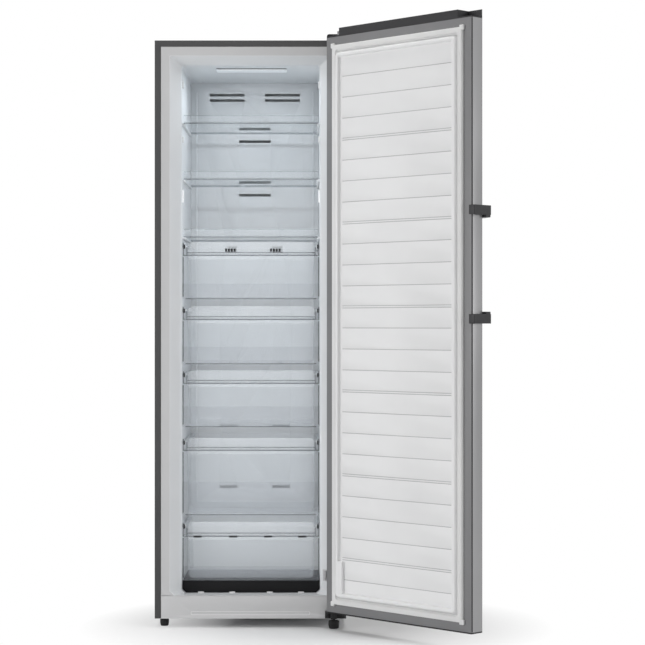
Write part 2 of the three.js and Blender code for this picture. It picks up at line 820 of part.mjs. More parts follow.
function machineCover() {
  const edge = halfWidth - sheet - seat;
  const low = cabinetBottom + panThickness + seat;
  const plate = block(-edge, edge, cabinetDepth - sheet, cabinetDepth, low, machineTop - seat);
  const ventHeight = 6;
  const ventPitch = 20;
  const ventRows = 8;
  const ventStart = 60;
  const ventMiddle = 128;
  const ventHalf = 72;
  const vents = [];
  for (let row = 0; row < ventRows; row += 1) {
    const z = low + ventStart + row * ventPitch;
    for (const x of [-ventMiddle, ventMiddle]) {
      vents.push(block(
        x - ventHalf, x + ventHalf, cabinetDepth - 2 * sheet, cabinetDepth + beyond, z, z + ventHeight,
      ));
    }
  }
  const inletHole = cylinderY(inletX, inletZ, inletRadius + seat, 0, cabinetDepth + beyond);
  return plate.subtract(union(vents)).subtract(inletHole);
}

function powerInlet() {
  const face = cabinetDepth + seat;
  const flangeThickness = 2.4;
  const barrelDepth = 22;
  const flange = cylinderY(inletX, inletZ, inletRadius + inletFlange, face, face + flangeThickness);
  const barrel = cylinderY(inletX, inletZ, inletRadius, cabinetDepth - barrelDepth, face + beyond);
  const bore = cylinderY(
    inletX, inletZ, inletBore, cabinetDepth - barrelDepth - beyond, face + flangeThickness + beyond, 16,
  );
  return flange.add(barrel).subtract(bore);
}

// ---------------------------------------------------------------- back cover, fan, coil and lamp

// A pair of slots, left and right, as cutters into the back cover, right through unless told otherwise.
function airSlots(near, far, z, height, back) {
  return [[-far, -near], [near, far]].map(([x0, x1]) => airSlot(x0, x1, z, height, back));
}

function airSlot(x0, x1, z, height, back = coverBack + beyond) {
  return prismY(
    roundedRectangle(x0, x1, z - height / 2, z + height / 2, slotCorner),
    coverFront - beyond, back, 1,
  );
}

function evaporatorCover() {
  const half = cavityHalfAt(coverBack) - seat;
  const plate = block(-half, half, coverFront, coverBack, stepTop + seat, cavityTop - seat);
  const slots = upperSlotDrops.flatMap((drop) => airSlots(
    upperSlotNear, upperSlotFar, cavityTop - drop, slotHeight,
  ));
  [firstShelfSlotRises, secondShelfSlotRises].forEach((rises, index) => {
    for (const rise of rises) {
      const z = shelfLipBottoms[index] + rise;
      slots.push(airSlot(-shelfSlotHalf, shelfSlotHalf, z, slotHeight));
    }
  });
  for (const row of [-1, 0, 1]) {
    const z = drawers[0].top - louvreDrop + row * louvrePitch;
    slots.push(...airSlots(louvreNear, louvreFar, z, louvreHeight));
  }
  const ductMiddle = drawers[1].top - ductDrop;
  slots.push(...airSlots(ductNear, ductFar, ductMiddle, ductHeight, coverFront + ductDepth));
  const returns = [drawers[2].top + returnRise, drawers[3].top + returnRise, stepTop + lowReturnRise];
  for (const z of returns) {
    slots.push(...airSlots(returnNear, returnFar, z, returnHeight));
  }
  return plate.subtract(union(slots));
}

function evaporatorCoil() {
  const y0 = coverBack + coilFrontGap;
  const y1 = cavityBack - seat;
  const half = coilWidth / 2;
  let coil = block(-half, half, y0, y1, coilBottom, coilTop);
  const gapCount = 7;
  const gapWidth = 8;
  for (let i = 1; i <= gapCount; i += 1) {
    const x = -half + (coilWidth * i) / (gapCount + 1);
    coil = coil.subtract(block(
      x - gapWidth / 2, x + gapWidth / 2, y0 - beyond, y1 - coilWeb, coilBottom - beyond, coilTop + beyond,
    ));
  }
  const rows = 5;
  const rowPitch = (coilTop - coilBottom) / rows;
  for (let row = 0; row < rows; row += 1) {
    const side = row % 2 ? 1 : -1;
    const z = coilBottom + rowPitch * (row + 0.5);
    const reach = side * (half + coilBendReach);
    const [x0, x1] = side > 0 ? [half - beyond, reach] : [reach, -half + beyond];
    const y = (y0 + y1) / 2;
    coil = coil.add(cylinderX(y, z - coilTubeRadius * 2, coilTubeRadius, x0, x1, 8));
    coil = coil.add(cylinderX(y, z + coilTubeRadius * 2, coilTubeRadius, x0, x1, 8));
    coil = coil.add(cylinderZ(
      reach, y, coilTubeRadius, z - coilTubeRadius * 3, z + coilTubeRadius * 3, 8,
    ));
  }
  return coil;
}

function fanImpeller() {
  const back = impellerFront + fanDepth;
  let wheel = cylinderY(0, fanHeight, fanHubRadius, impellerFront, back);
  const bladeStart = fanHubRadius / 2;
  for (let i = 0; i < fanBlades; i += 1) {
    const blade = new THREE.BoxGeometry(fanRadius - bladeStart, fanDepth * 2 / 3, fanBladeThickness);
    blade.translate((fanRadius + bladeStart) / 2, 0, 0);
    blade.rotateX(THREE.MathUtils.degToRad(fanBladePitch));
    blade.rotateY((2 * Math.PI * i) / fanBlades);
    blade.translate(0, (impellerFront + back) / 2, fanHeight);
    wheel = wheel.add(solidFrom(blade));
  }
  return wheel.subtract(cylinderY(
    0, fanHeight, fanShaftRadius + seat, impellerFront - beyond, back + beyond,
  ));
}

function fanMotor() {
  const front = impellerFront + fanDepth + fanMotorGap;
  const back = cavityBack - seat;
  const bracketHalf = 9;
  const shaft = cylinderY(0, fanHeight, fanShaftRadius, impellerFront + 2, front + beyond);
  const can = cylinderY(0, fanHeight, fanMotorRadius, front, back);
  const bracket = block(
    -fanBracketReach, fanBracketReach, back - fanBracketThickness, back,
    fanHeight - bracketHalf, fanHeight + bracketHalf,
  );
  return shaft.add(can).add(bracket);
}

function lampCover() {
  const top = cavityTop - seat;
  const shape = roundedRectangle(
    -lampHalfWidth, lampHalfWidth, lampFront, lampFront + lampDepth, lampCorner,
  );
  const inner = roundedRectangle(
    -lampHalfWidth + linerWall, lampHalfWidth - linerWall, lampFront + linerWall,
    lampFront + lampDepth - linerWall, lampCorner - linerWall,
  );
  return prismZ(shape, top - lampDrop, top)
    .subtract(prismZ(inner, top - lampDrop + linerWall, top + beyond));
}

function lampBoard() {
  const top = cavityTop - seat;
  const endInset = lampBoardMargin;
  const sideInset = lampBoardMargin + lampCorner;
  return block(
    -lampHalfWidth + endInset, lampHalfWidth - endInset, lampFront + sideInset,
    lampFront + lampDepth - sideInset, top - lampBoardThickness, top,
  );
}

// ---------------------------------------------------------------- shelves

function shelfGlass(lipBottom) {
  const half = cavityHalfAt(shelfBack) - shelfSideGap;
  const z0 = glassBottom(lipBottom);
  return block(-half, half, shelfFront + trimWall + seat, shelfBack, z0, z0 + glassThickness);
}

function shelfTrim(lipBottom) {
  const half = cavityHalfAt(shelfBack) - shelfSideGap;
  const low = glassBottom(lipBottom) - seat;
  const high = glassBottom(lipBottom) + glassThickness + seat;
  const top = lipBottom + shelfLip;
  const holdUnder = 9;
  const holdOver = 5;
  const round = 1;
  const face = shelfFront + trimWall;
  const profile = outline([
    [shelfFront, lipBottom + round], [shelfFront + round, lipBottom], [face, lipBottom],
    [face, low - trimWall], [face + holdUnder, low - trimWall], [face + holdUnder, low],
    [face, low], [face, high], [face + holdOver, high], [face + holdOver, high + trimWall],
    [face, high + trimWall], [face, top], [shelfFront + round, top], [shelfFront, top - round],
  ]);
  return prismX(profile, -half, half);
}

// ---------------------------------------------------------------- drawers

function tubBack(index) {
  return index === drawers.length - 1
    ? stepFront - tubBackClearance
    : coverFront - deepTubClearance;
}

function tubFront() {
  return drawerFront + gripDepth + drawerPanel + seat;
}

function drawerTub(heights, index) {
  const rimTop = tubRimTop(heights);
  const rimHalf = cavityHalf - cavityDraft - tubSideClearance;
  const topHalf = rimHalf - tubRim;
  const lowHalf = topHalf - tubDraft;
  const floorZ = heights.bottom + drawerPanel;
  const y0 = tubFront();
  const y1 = tubBack(index);
  const section = (inset, top) => outline([
    [-lowHalf + tubChamfer, floorZ + inset], [lowHalf - tubChamfer, floorZ + inset],
    [lowHalf - inset, floorZ + tubChamfer], [topHalf - inset, top],
    [-topHalf + inset, top], [-lowHalf + inset, floorZ + tubChamfer],
  ]);
  const body = prismY(section(0, rimTop), y0, y1);
  const rim = block(
    -rimHalf, rimHalf, y0, y1, rimTop - tubRimThickness, rimTop,
  );
  const hollow = prismY(section(tubWall, rimTop + beyond), y0 + tubWall, y1 - tubWall);
  return body.add(rim).subtract(hollow);
}

function drawerFace(heights) {
  const half = cavityHalf - drawerSideGap;
  const bandHalf = half - gripBandInset;
  const y0 = drawerFront;
  const plate = prismY(
    roundedRectangle(-half, half, heights.bottom, heights.grip, drawerCorner),
    y0, y0 + drawerPanelReturn, 2,
  ).subtract(prismY(
    roundedRectangle(
      -half + drawerPanel, half - drawerPanel, heights.bottom + drawerPanel,
      heights.grip - drawerPanel, drawerCorner - 2,
    ),
    y0 + drawerPanel, y0 + drawerPanelReturn + beyond, 2,
  ));
  const bandY = drawerFront + gripDepth;
  const ledge = block(
    -bandHalf, bandHalf, y0 + drawerPanel, bandY + drawerPanel,
    heights.grip - drawerPanel, heights.grip,
  );
  const band = prismY(
    roundedRectangle(
      -bandHalf, bandHalf, heights.grip - drawerPanel - gripBandRadius, heights.top, gripBandRadius,
    ),
    bandY, bandY + drawerPanel, 3,
  );
  const lip = block(
    -bandHalf + gripBandRadius, bandHalf - gripBandRadius, bandY - drawerPanel, bandY + beyond,
    heights.top - drawerPanel, heights.top,
  );
  return plate.add(ledge).add(band).add(lip);
}

// ---------------------------------------------------------------- door switch

function switchHousing() {
  const slot = block(
    switchX - plungerWidth / 2 - seat, switchX + plungerWidth / 2 + seat, 0,
    plungerTip + plungerLength + plungerTravel + seat,
    switchZ - plungerHeight / 2 - seat, switchZ + plungerHeight / 2 + seat,
  );
  const inFront = prismZ(outline([
    [mouthHalf, -switchProud], [cavityHalf, bevelDepth - switchProud],
    [0, bevelDepth - switchProud], [0, -bevelDepth], [mouthHalf, -bevelDepth],
  ]), 0, cabinetTop);
  return switchPocket(0).subtract(slot).subtract(inFront);
}

function switchPlunger() {
  return block(
    switchX - plungerWidth / 2, switchX + plungerWidth / 2, plungerTip, plungerTip + plungerLength,
    switchZ - plungerHeight / 2, switchZ + plungerHeight / 2,
  );
}

// ---------------------------------------------------------------- hinges

// The arm is cranked round the corner that the door's raised skin sweeps as it opens.
function upperHinge() {
  const at = (dx, dy) => [pinX + dx, pinY + dy];
  const root = -pinY;
  const elbow = bushRadius + 11;
  const arm = prismZ(outline([
    at(-bushRadius, 0), at(4 - armRootLeft, elbow), at(-armRootLeft, root),
    at(-armRootLeft, root + armRootDepth), at(armRootRight, root + armRootDepth),
    at(armRootRight, root + 2), at(2 - bushRadius, elbow + 10), at(-4, elbow - 6), at(-2, pinRadius + 1),
  ]), armBottom, armTop);
  const boss = cylinderZ(pinX, pinY, bushRadius, armBottom, armTop);
  const pin = cylinderZ(pinX, pinY, pinRadius, doorTop - bushDepth + pinRelief, armTop);
  const spacer = block(
    pinX - armRootLeft + 2, pinX + armRootRight - 2, 2 * armBolt, root + 40, cabinetTop + seat, armTop,
  );
  const bolts = [[-3 * armBolt, 22], [armBolt, 22], [-armBolt, 62]].map(
    ([dx, y]) => cylinderZ(pinX + dx, y, armBolt, armTop - 1, armTop + armThickness, 6),
  );
  return union([arm, boss, pin, spacer, ...bolts]);
}

function upperHingeCover() {
  const x0 = pinX - hingeCoverReach;
  const x1 = halfWidth - hingeCoverInset;
  const y0 = hingeCoverFront;
  const z0 = cabinetTop + seat;
  const z1 = cabinetTop + hingeCoverHeight;
  const round = hingeCoverRound;
  const front = new THREE.Shape();
  front.moveTo(x0, z0);
  front.lineTo(x1, z0);
  front.lineTo(x1, z1 - round);
  front.absarc(x1 - round, z1 - round, round, 0, Math.PI / 2);
  front.absarc(x0 + round, z1 - round, round, Math.PI / 2, Math.PI);
  const hood = prismY(front, y0, y0 + hingeCoverDepth);
  const sideWallInset = hingeCoverWall + beyond;
  const hollow = block(
    x0 + sideWallInset, x1 - sideWallInset, y0 + hingeCoverWall,
    y0 + hingeCoverDepth - hingeCoverWall, z0 - beyond, z1 - hingeCoverWall,
  );
  const armSlot = block(
    pinX - armRootLeft - seat, pinX + armRootRight + seat, 0, y0 + hingeCoverWall + beyond,
    z0 - beyond, armTop + seat,
  );
  return hood.subtract(hollow).subtract(armSlot);
}

function lowerHinge() {
  const back = flangeFace - seat;
  const front = back - lowerPlateThickness;
  const shelfBottom = lowerPlateTop - lowerPlateThickness;
  const plate = block(
    lowerPlateLeft, lowerPlateRight, front, back, cabinetBottom + 1, lowerPlateTop,
  );
  const noseSide = pinY - 4;
  const noseFront = pinY - lowerArmNose;
  const noseHalf = lowerArmHalf - 4;
  const arm = prismZ(outline([
    [lowerPlateLeft, back], [lowerPlateLeft, front - lowerArmShoulder], [pinX - lowerArmHalf, noseSide],
    [pinX - noseHalf, noseFront], [pinX + noseHalf, noseFront], [pinX + lowerArmHalf, noseSide],
    [lowerPlateRight, front - lowerArmShoulder], [lowerPlateRight, back],
  ]), shelfBottom, lowerPlateTop);
  const pin = cylinderZ(pinX, pinY, pinRadius, shelfBottom, doorBottom + bushDepth - bushFloor - 2);
  const boss = cylinderZ(rightFootX, rightFootY, footBossRadius, cabinetBottom + 1, lowerPlateTop);
  const bore = cylinderZ(rightFootX, rightFootY, footStemRadius + seat, 0, shelfBottom - 1);
  const screwHeight = cabinetBottom + hingeScrewInset + 2;
  const screws = [lowerPlateLeft + hingeScrewInset, lowerPlateRight - hingeScrewInset].map(
    (x) => cylinderY(x, screwHeight, hingeScrewRadius, front - hingeScrewHeight, front + 1, 16),
  );
  return union([plate, arm, pin, boss, ...screws]).subtract(bore);
}

// ---------------------------------------------------------------- door, modelled closed

function doorSkin() {
  const wrap = prismZ(
    roundedRectangle(-halfWidth, halfWidth, doorOuter, doorInner + 20, skinCornerRadius),
    doorBottom, doorTop + doorRim,
  );
  const behind = block(
    -halfWidth - beyond, halfWidth + beyond, skinEnd, doorInner + 30, 0, 2 * doorTop,
  );
  const hollow = block(
    -halfWidth + sheet, halfWidth - sheet, doorOuter + sheet, doorInner + 30, 0, 2 * doorTop,
  );
  const aboveSides = block(
    -halfWidth - beyond, halfWidth + beyond, doorOuter + skinCornerRadius, doorInner + 30,
    doorTop, 2 * doorTop,
  );
  return wrap.subtract(behind).subtract(hollow).subtract(aboveSides);
}

function doorFrame() {
  const ring = (edgeInset, y0, y1) => block(
    -halfWidth + edgeInset, halfWidth - edgeInset, y0, y1, doorBottom + edgeInset / 2,
    doorTop - edgeInset / 2,
  );
  const window = block(
    -halfWidth + frameWidth, halfWidth - frameWidth, doorOuter, doorInner + beyond,
    doorBottom + frameWidth, doorTop - frameWidth,
  );
  const visible = ring(seat, seamFace, doorInner);
  const step = ring(sheet + seat, frameBack, seamFace + beyond);
  return visible.add(step).subtract(window);
}

// A solid between two insets from the door's edges, at two heights above the frame's face.
function doorLoft(inset0, height0, inset1, height1, corner) {
  const ringAt = (inset) => roundPoints(
    -halfWidth + inset, halfWidth - inset, doorBottom + inset, doorTop - inset,
    Math.max(corner - inset + dykeInset, 3),
  );
  return loftY([
    { y: doorInner + height0, points: ringAt(inset0) },
    { y: doorInner + height1, points: ringAt(inset1) },
  ]);
}

// The raised ridge and panel of the door's liner as one full body; shrink makes it thinner all over.
function linerForm(shrink) {
  const outerTop = dykeInset + dykeDraft + shrink;
  const innerTop = dykeInset + dykeDraft + dykeTopWidth - shrink;
  const innerFoot = innerTop + dykeInnerSlope;
  const ridge = doorLoft(
    dykeInset + shrink, -linerWall - shrink, outerTop, dykeHeight - shrink, dykeCornerRadius,
  );
  const recess = doorLoft(
    innerFoot, panelHeight - shrink, innerTop - beyond / 2, dykeHeight + beyond, dykeCornerRadius,
  );
  const pad = block(
    halfWidth - innerFoot - dykePadWidth + shrink, halfWidth - (outerTop + innerTop) / 2,
    doorInner, doorInner + dykeHeight - shrink, doorBottom + outerTop + dykeCornerRadius / 2,
    dykePadTop - shrink,
  );
  return ridge.subtract(recess).add(pad);
}

// Heights of the grooves across the liner panel: every fourth one is a close pair.
function grooveHeights() {
  const pitch = (grooveTop - grooveBottom) / (grooveCount - 1);
  const heights = [];
  for (let i = 0; i < grooveCount; i += 1) {
    const z = grooveTop - i * pitch;
    if (i % 4 === 3) {
      heights.push(z + grooveTwinSpacing / 2, z - grooveTwinSpacing / 2);
    } else {
      heights.push(z);
    }
  }
  return heights;
}

function doorLiner() {
  const footing = block(
    -halfWidth + frameWidth + seat, halfWidth - frameWidth - seat, doorInner - linerWall, doorInner - seat,
    doorBottom + frameWidth + seat, doorTop - frameWidth - seat,
  );
  const inner = dykeInset + dykeDraft + dykeTopWidth + dykeInnerSlope;
  const grooves = grooveHeights().map((z) => block(
    -halfWidth + inner + grooveEndInset,
    halfWidth - inner - grooveEndInset - (z < dykePadTop + grooveWidth ? dykePadWidth : 0),
    doorInner + panelHeight - grooveDepth, doorInner + panelHeight + beyond,
    z - grooveWidth / 2, z + grooveWidth / 2,
  ));
  return linerForm(0).add(footing).subtract(linerForm(linerWall)).subtract(union(grooves))
    .subtract(block(
      -halfWidth + dykeInset + linerWall, halfWidth - dykeInset - linerWall, doorOuter,
      doorInner - linerWall + beyond, doorBottom + dykeInset + linerWall,
      doorTop - dykeInset - linerWall,
    ));
}

function doorFoam() {
  const edge = halfWidth - sheet - seat;
  const slab = block(
    -edge, edge, doorOuter + sheet + seat, frameBack - seat, doorBottom + seat, doorTop - seat,
  );
  const raised = linerForm(linerWall + seat);
  const neckInset = dykeInset + linerWall + seat;
  const neck = block(
    -halfWidth + neckInset, halfWidth - neckInset, doorOuter + sheet + seat,
    doorInner - 2 * linerWall, doorBottom + neckInset, doorTop - neckInset,
  );
  const pockets = [
    cylinderZ(pinX, pinY, bushRadius + seat, doorTop - bushDepth - seat, doorTop + beyond),
    cylinderZ(pinX, pinY, bushRadius + seat, 0, doorBottom + bushDepth + seat),
  ];
  return slab.add(raised).add(neck).subtract(union(pockets));
}

function doorGasket() {
  const corner = 8;
  const ringBody = (inset, width, y0, y1) => prismY(
    roundedRectangle(
      -halfWidth + inset, halfWidth - inset, doorBottom + inset, doorTop - inset, corner,
    ), y0, y1,
  ).subtract(prismY(
    roundedRectangle(
      -halfWidth + inset + width, halfWidth - inset - width, doorBottom + inset + width,
      doorTop - inset - width, 2,
    ), y0 - beyond, y1 + beyond,
  ));
  const y0 = doorInner + seat;
  const waist = doorInner + gasketHeight * 0.4;
  const base = ringBody(gasketInset, gasketWidth, y0, waist);
  const magnet = ringBody(gasketInset + 2, gasketWidth - 6, waist, doorInner + gasketHeight);
  const nubCentre = gasketInset + gasketNubRadius - 2.5;
  const nubs = [];
  for (const x of [-halfWidth + nubCentre, halfWidth - nubCentre]) {
    for (const z of [doorBottom + nubCentre, doorTop - nubCentre]) {
      nubs.push(cylinderY(x, z, gasketNubRadius, y0, doorInner + gasketHeight - 1, 10));
    }
  }
  return union([base, magnet, ...nubs]);
}

function doorTopCap() {
  const edge = halfWidth - seat;
  const front = doorOuter + sheet + seat;
  const z0 = doorTop + seat;
  const plate = block(-edge, edge, front + skinCornerRadius, doorInner, z0, z0 + capPlate);
  const middle = block(
    -halfWidth + capPocket, halfWidth - capPocket, front, doorInner, z0, doorTop + doorRim,
  );
  const bushHole = cylinderZ(pinX, pinY, bushRadius + seat, 0, doorTop + doorRim);
  return plate.add(middle).subtract(bushHole);
}

function doorBottomCap() {
  const plate = prismZ(
    roundedRectangle(-halfWidth + seat, halfWidth - seat, doorOuter, doorInner, skinCornerRadius),
    doorBottom - bottomCapThickness, doorBottom - seat,
  );
  return plate.subtract(cylinderZ(pinX, pinY, bushRadius + seat, 0, doorTop));
}

function upperBush() {
  const bush = cylinderZ(pinX, pinY, bushRadius, doorTop - bushDepth, doorTop + capPlate);
  return bush.subtract(cylinderZ(
    pinX, pinY, pinRadius + seat, doorTop - bushDepth + bushFloor, doorTop + capPlate + beyond,
  ));
}

function lowerBush() {
  const bush = cylinderZ(
    pinX, pinY, bushRadius, doorBottom - bottomCapThickness, doorBottom + bushDepth,
  );
  return bush.subtract(cylinderZ(pinX, pinY, pinRadius + seat, 0, doorBottom + bushDepth - bushFloor));
}

// ---------------------------------------------------------------- handle, on the closed door

// A bracket that wraps the door's free edge and reaches forward to the bar.
function handleBracket(top, lift) {
  const edge = -halfWidth;
  const side = edge - bracketProud;
  const near = doorInner + bracketLip;
  const far = doorOuter - bracketReach;
  const barNear = edge + barInset - seat;
  const barBack = doorOuter - barStandoff;
  const barFace = barBack - barThickness;
  const wrap = outline([
    [edge + bracketWrap, near], [side + bracketRound, near], [side, near - bracketRound], [side, far],
    [edge, far],
    [edge - seat, doorInner + seat], [edge + bracketWrap, doorInner + seat],
  ]);
  const reach = outline([
    [side, doorOuter - seat], [side, far + bracketRound], [side + bracketRound, far - 1],
    [barNear - bracketWrap, barFace], [barNear, barFace], [barNear, barBack],
    [barNear - bracketWrap - 2, barBack + bracketRound], [edge + bracketProud, doorOuter - seat],
  ]);
  const wrapped = prismZ(wrap, top - bracketHeight, top).subtract(block(
    edge - seat, halfWidth, doorOuter - seat, doorInner + seat, 0, 2 * doorTop,
  ));
  const bottom = top - bracketHeight - (lift ? 0 : bracketExtra);
  return wrapped.add(prismZ(reach, bottom, top + (lift ? bracketExtra : 0)));
}

function handleBar() {
  const x0 = -halfWidth + barInset;
  const y1 = doorOuter - barStandoff;
  return prismZ(
    roundedRectangle(x0, x0 + barWidth, y1 - barThickness, y1, 4),
    handleTop - handleLength, handleTop, 4,
  );
}

// ---------------------------------------------------------------- the scene graph

const freezer = new THREE.Group();

function place(group, name, solid, material) {
  const { vertProperties, triVerts } = solid.getMesh();
  const indexed = new THREE.BufferGeometry();
  indexed.setAttribute('position', new THREE.BufferAttribute(new Float32Array(vertProperties), 3));
  indexed.setIndex(new THREE.BufferAttribute(new Uint32Array(triVerts), 1));
  const geometry = indexed.toNonIndexed();
  geometry.computeVertexNormals();
  const mesh = new THREE.Mesh(geometry, material);
  mesh.name = name;
  group.add(mesh);
}

const cabinet = new THREE.Group();
freezer.add(cabinet);
place(cabinet, 'cabinet_shell', cabinetShell(), darkSheet);
place(cabinet, 'back_panel', backPanel(), zincSteel);
place(cabinet, 'insulation', foamBody(), insulation);
place(cabinet, 'inner_liner', innerLiner(), whiteLiner);
place(cabinet, 'front_apron', frontApron(), greyFlange);
place(cabinet, 'deck_panel', deckPanel(), blackPlastic);
place(cabinet, 'evaporator_cover', evaporatorCover(), whiteLiner);
place(cabinet, 'evaporator_coil', evaporatorCoil(), coilMetal);
place(cabinet, 'fan_impeller', fanImpeller(), blackPlastic);
place(cabinet, 'fan_motor', fanMotor(), blackEnamel);
place(cabinet, 'lamp_cover', lampCover(), clearPlastic);
place(cabinet, 'lamp_board', lampBoard(), whiteLiner);
place(cabinet, 'base_pan', basePan(), zincSteel);
place(cabinet, 'compressor', compressor(), blackEnamel);
place(cabinet, 'drip_tray', dripTray(), blackPlastic);
place(cabinet, 'control_box', controlBox(), blackPlastic);
place(cabinet, 'machine_cover', machineCover(), zincSteel);
place(cabinet, 'power_inlet', powerInlet(), darkRubber);
place(cabinet, 'switch_housing', switchHousing(), greyFlange);
place(cabinet, 'switch_plunger', switchPlunger(), greyFlange);
place(cabinet, 'upper_hinge', upperHinge(), zincSteel);
place(cabinet, 'upper_hinge_cover', upperHingeCover(), blackPlastic);
place(cabinet, 'lower_hinge', lowerHinge(), blackEnamel);

place(
  cabinet, 'left_foot',
  levellingFoot(
    -leftFootX, leftFootY, leftFootRadius, leftFootHeight,
    cabinetBottom + panThickness + footStemSpare,
  ),
  darkRubber,
);
place(
  cabinet, 'right_foot',
  levellingFoot(
    rightFootX, rightFootY, rightFootRadius, rightFootHeight,
    lowerPlateTop - lowerPlateThickness - footStemGap,
  ),
  darkRubber,
);
for (const [side, word] of [[-1, 'left'], [1, 'right']]) {
  place(cabinet, `${word}_roller`, roller(side), darkRubber);
  place(cabinet, `${word}_roller_axle`, rollerAxle(side), zincSteel);
}
shelfLipBottoms.forEach((lipBottom, index) => {
  place(cabinet, `shelf_glass_${index + 1}`, shelfGlass(lipBottom), clearGlass);
  place(cabinet, `shelf_trim_${index + 1}`, shelfTrim(lipBottom), clearPlastic);
});
drawers.forEach((heights, index) => {
  place(cabinet, `drawer_tub_${index + 1}`, drawerTub(heights, index), clearPlastic);
  place(cabinet, `drawer_front_${index + 1}`, drawerFace(heights), clearPlastic);
});

// The door turns about the hinge pin; its pieces are modelled closed inside the turned group.
const hingeTurn = new THREE.Group();
hingeTurn.position.set(pinX, pinY, 0);
hingeTurn.rotation.z = THREE.MathUtils.degToRad(doorOpenAngle);
cabinet.add(hingeTurn);
const door = new THREE.Group();
door.position.set(-pinX, -pinY, 0);
hingeTurn.add(door);
place(door, 'door_skin', doorSkin(), brushedSteel);
place(door, 'door_frame', doorFrame(), greyFrame);
place(door, 'door_liner', doorLiner(), whiteLiner);
place(door, 'door_foam', doorFoam(), insulation);
place(door, 'door_gasket', doorGasket(), whiteRubber);
place(door, 'door_top_cap', doorTopCap(), blackPlastic);
place(door, 'door_bottom_cap', doorBottomCap(), blackPlastic);
place(door, 'upper_hinge_bush', upperBush(), whiteRubber);
place(door, 'lower_hinge_bush', lowerBush(), whiteRubber);
place(door, 'handle_bracket_upper', handleBracket(handleTop, false), blackPlastic);
place(
  door, 'handle_bracket_lower',
  handleBracket(handleTop - handleLength + bracketHeight, true), blackPlastic,
);
place(door, 'handle_bar', handleBar(), blackPlastic);

// Origin: the middle of the footprint box of the standing freezer, on the floor.
cabinet.updateMatrixWorld(true);
const extent = new THREE.Box3().setFromObject(cabinet, true);
const middle = extent.getCenter(new THREE.Vector3());
cabinet.position.set(-middle.x, -middle.y, -extent.min.z);

export default freezer;
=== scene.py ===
"""Looks of an upright freezer that stands with its door open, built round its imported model."""

import json
import logging
import math
from collections.abc import Callable, Iterable, Sequence
from dataclasses import dataclass, field
from enum import Enum

import bmesh
import bpy
from mathutils import Matrix, Vector


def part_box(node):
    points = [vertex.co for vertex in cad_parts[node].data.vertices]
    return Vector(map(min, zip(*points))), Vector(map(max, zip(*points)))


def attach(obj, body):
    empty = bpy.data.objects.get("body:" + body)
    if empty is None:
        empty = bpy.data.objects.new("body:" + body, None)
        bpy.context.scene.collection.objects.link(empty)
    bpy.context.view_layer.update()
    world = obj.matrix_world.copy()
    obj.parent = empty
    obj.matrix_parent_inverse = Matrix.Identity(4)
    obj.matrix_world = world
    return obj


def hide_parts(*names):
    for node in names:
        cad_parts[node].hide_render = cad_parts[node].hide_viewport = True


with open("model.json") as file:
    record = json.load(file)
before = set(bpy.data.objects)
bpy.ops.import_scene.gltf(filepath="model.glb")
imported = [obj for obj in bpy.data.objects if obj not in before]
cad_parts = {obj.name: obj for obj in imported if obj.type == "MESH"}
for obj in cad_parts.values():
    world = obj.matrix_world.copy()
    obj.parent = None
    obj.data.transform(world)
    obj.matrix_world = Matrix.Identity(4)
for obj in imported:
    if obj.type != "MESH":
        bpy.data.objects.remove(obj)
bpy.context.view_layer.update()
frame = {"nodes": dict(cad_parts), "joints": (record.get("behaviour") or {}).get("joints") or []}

MM = 0.001
SMOOTH_ANGLE = 28.0
LOG = logging.getLogger("freezer")

Point2 = tuple[float, float]
Ring = list[tuple[float, float, float]]
Colour = tuple[float, float, float]

SHELL_LOW, SHELL_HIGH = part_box("cabinet_shell")
DOOR_JOINT = next(j for j in frame["joints"] if j["name"] == "door_hinge")
PIN = Vector(DOOR_JOINT["pos_m"])
DOOR_OPEN = -math.radians(min(DOOR_JOINT["range_deg"]))


# ---------------------------------------------------------------- places

def cabinet_matrix() -> Matrix:
    """Turns cabinet millimetres (X from the middle, Y from the front, Z from the floor) into the row frame."""
    middle = (SHELL_LOW.x + SHELL_HIGH.x) / 2
    return Matrix.Translation((middle, SHELL_LOW.y, 0)) @ Matrix.Scale(MM, 4)


def door_matrix() -> Matrix:
    """Turns the closed door's millimetres into its open place in the row frame."""
    turn = Matrix.Rotation(DOOR_OPEN, 4, "Z")
    pin = Matrix.Translation((PIN.x, PIN.y, 0))
    return pin @ turn @ pin.inverted() @ cabinet_matrix()


class Datum(Enum):
    """The two frames of reference that sizes are given in."""

    CABINET = "cabinet"
    DOOR = "door"

    @property
    def matrix(self) -> Matrix:
        """The frame's place in the row frame."""
        return cabinet_matrix() if self is Datum.CABINET else door_matrix()


class Side(Enum):
    """The two sides of the cabinet, seen from the front."""

    LEFT = -1
    RIGHT = 1


def node_box(node: str) -> tuple[Vector, Vector]:
    """Corners of a cabinet node in cabinet millimetres.

    Args:
        node: name of a node that stands square to the cabinet.

    Returns:
        The lowest and the highest corner.
    """
    back = cabinet_matrix().inverted()
    low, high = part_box(node)
    return back @ low, back @ high


def node_top(node: str) -> float:
    """Height of a node's highest point in millimetres."""
    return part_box(node)[1].z / MM


# ---------------------------------------------------------------- outlines

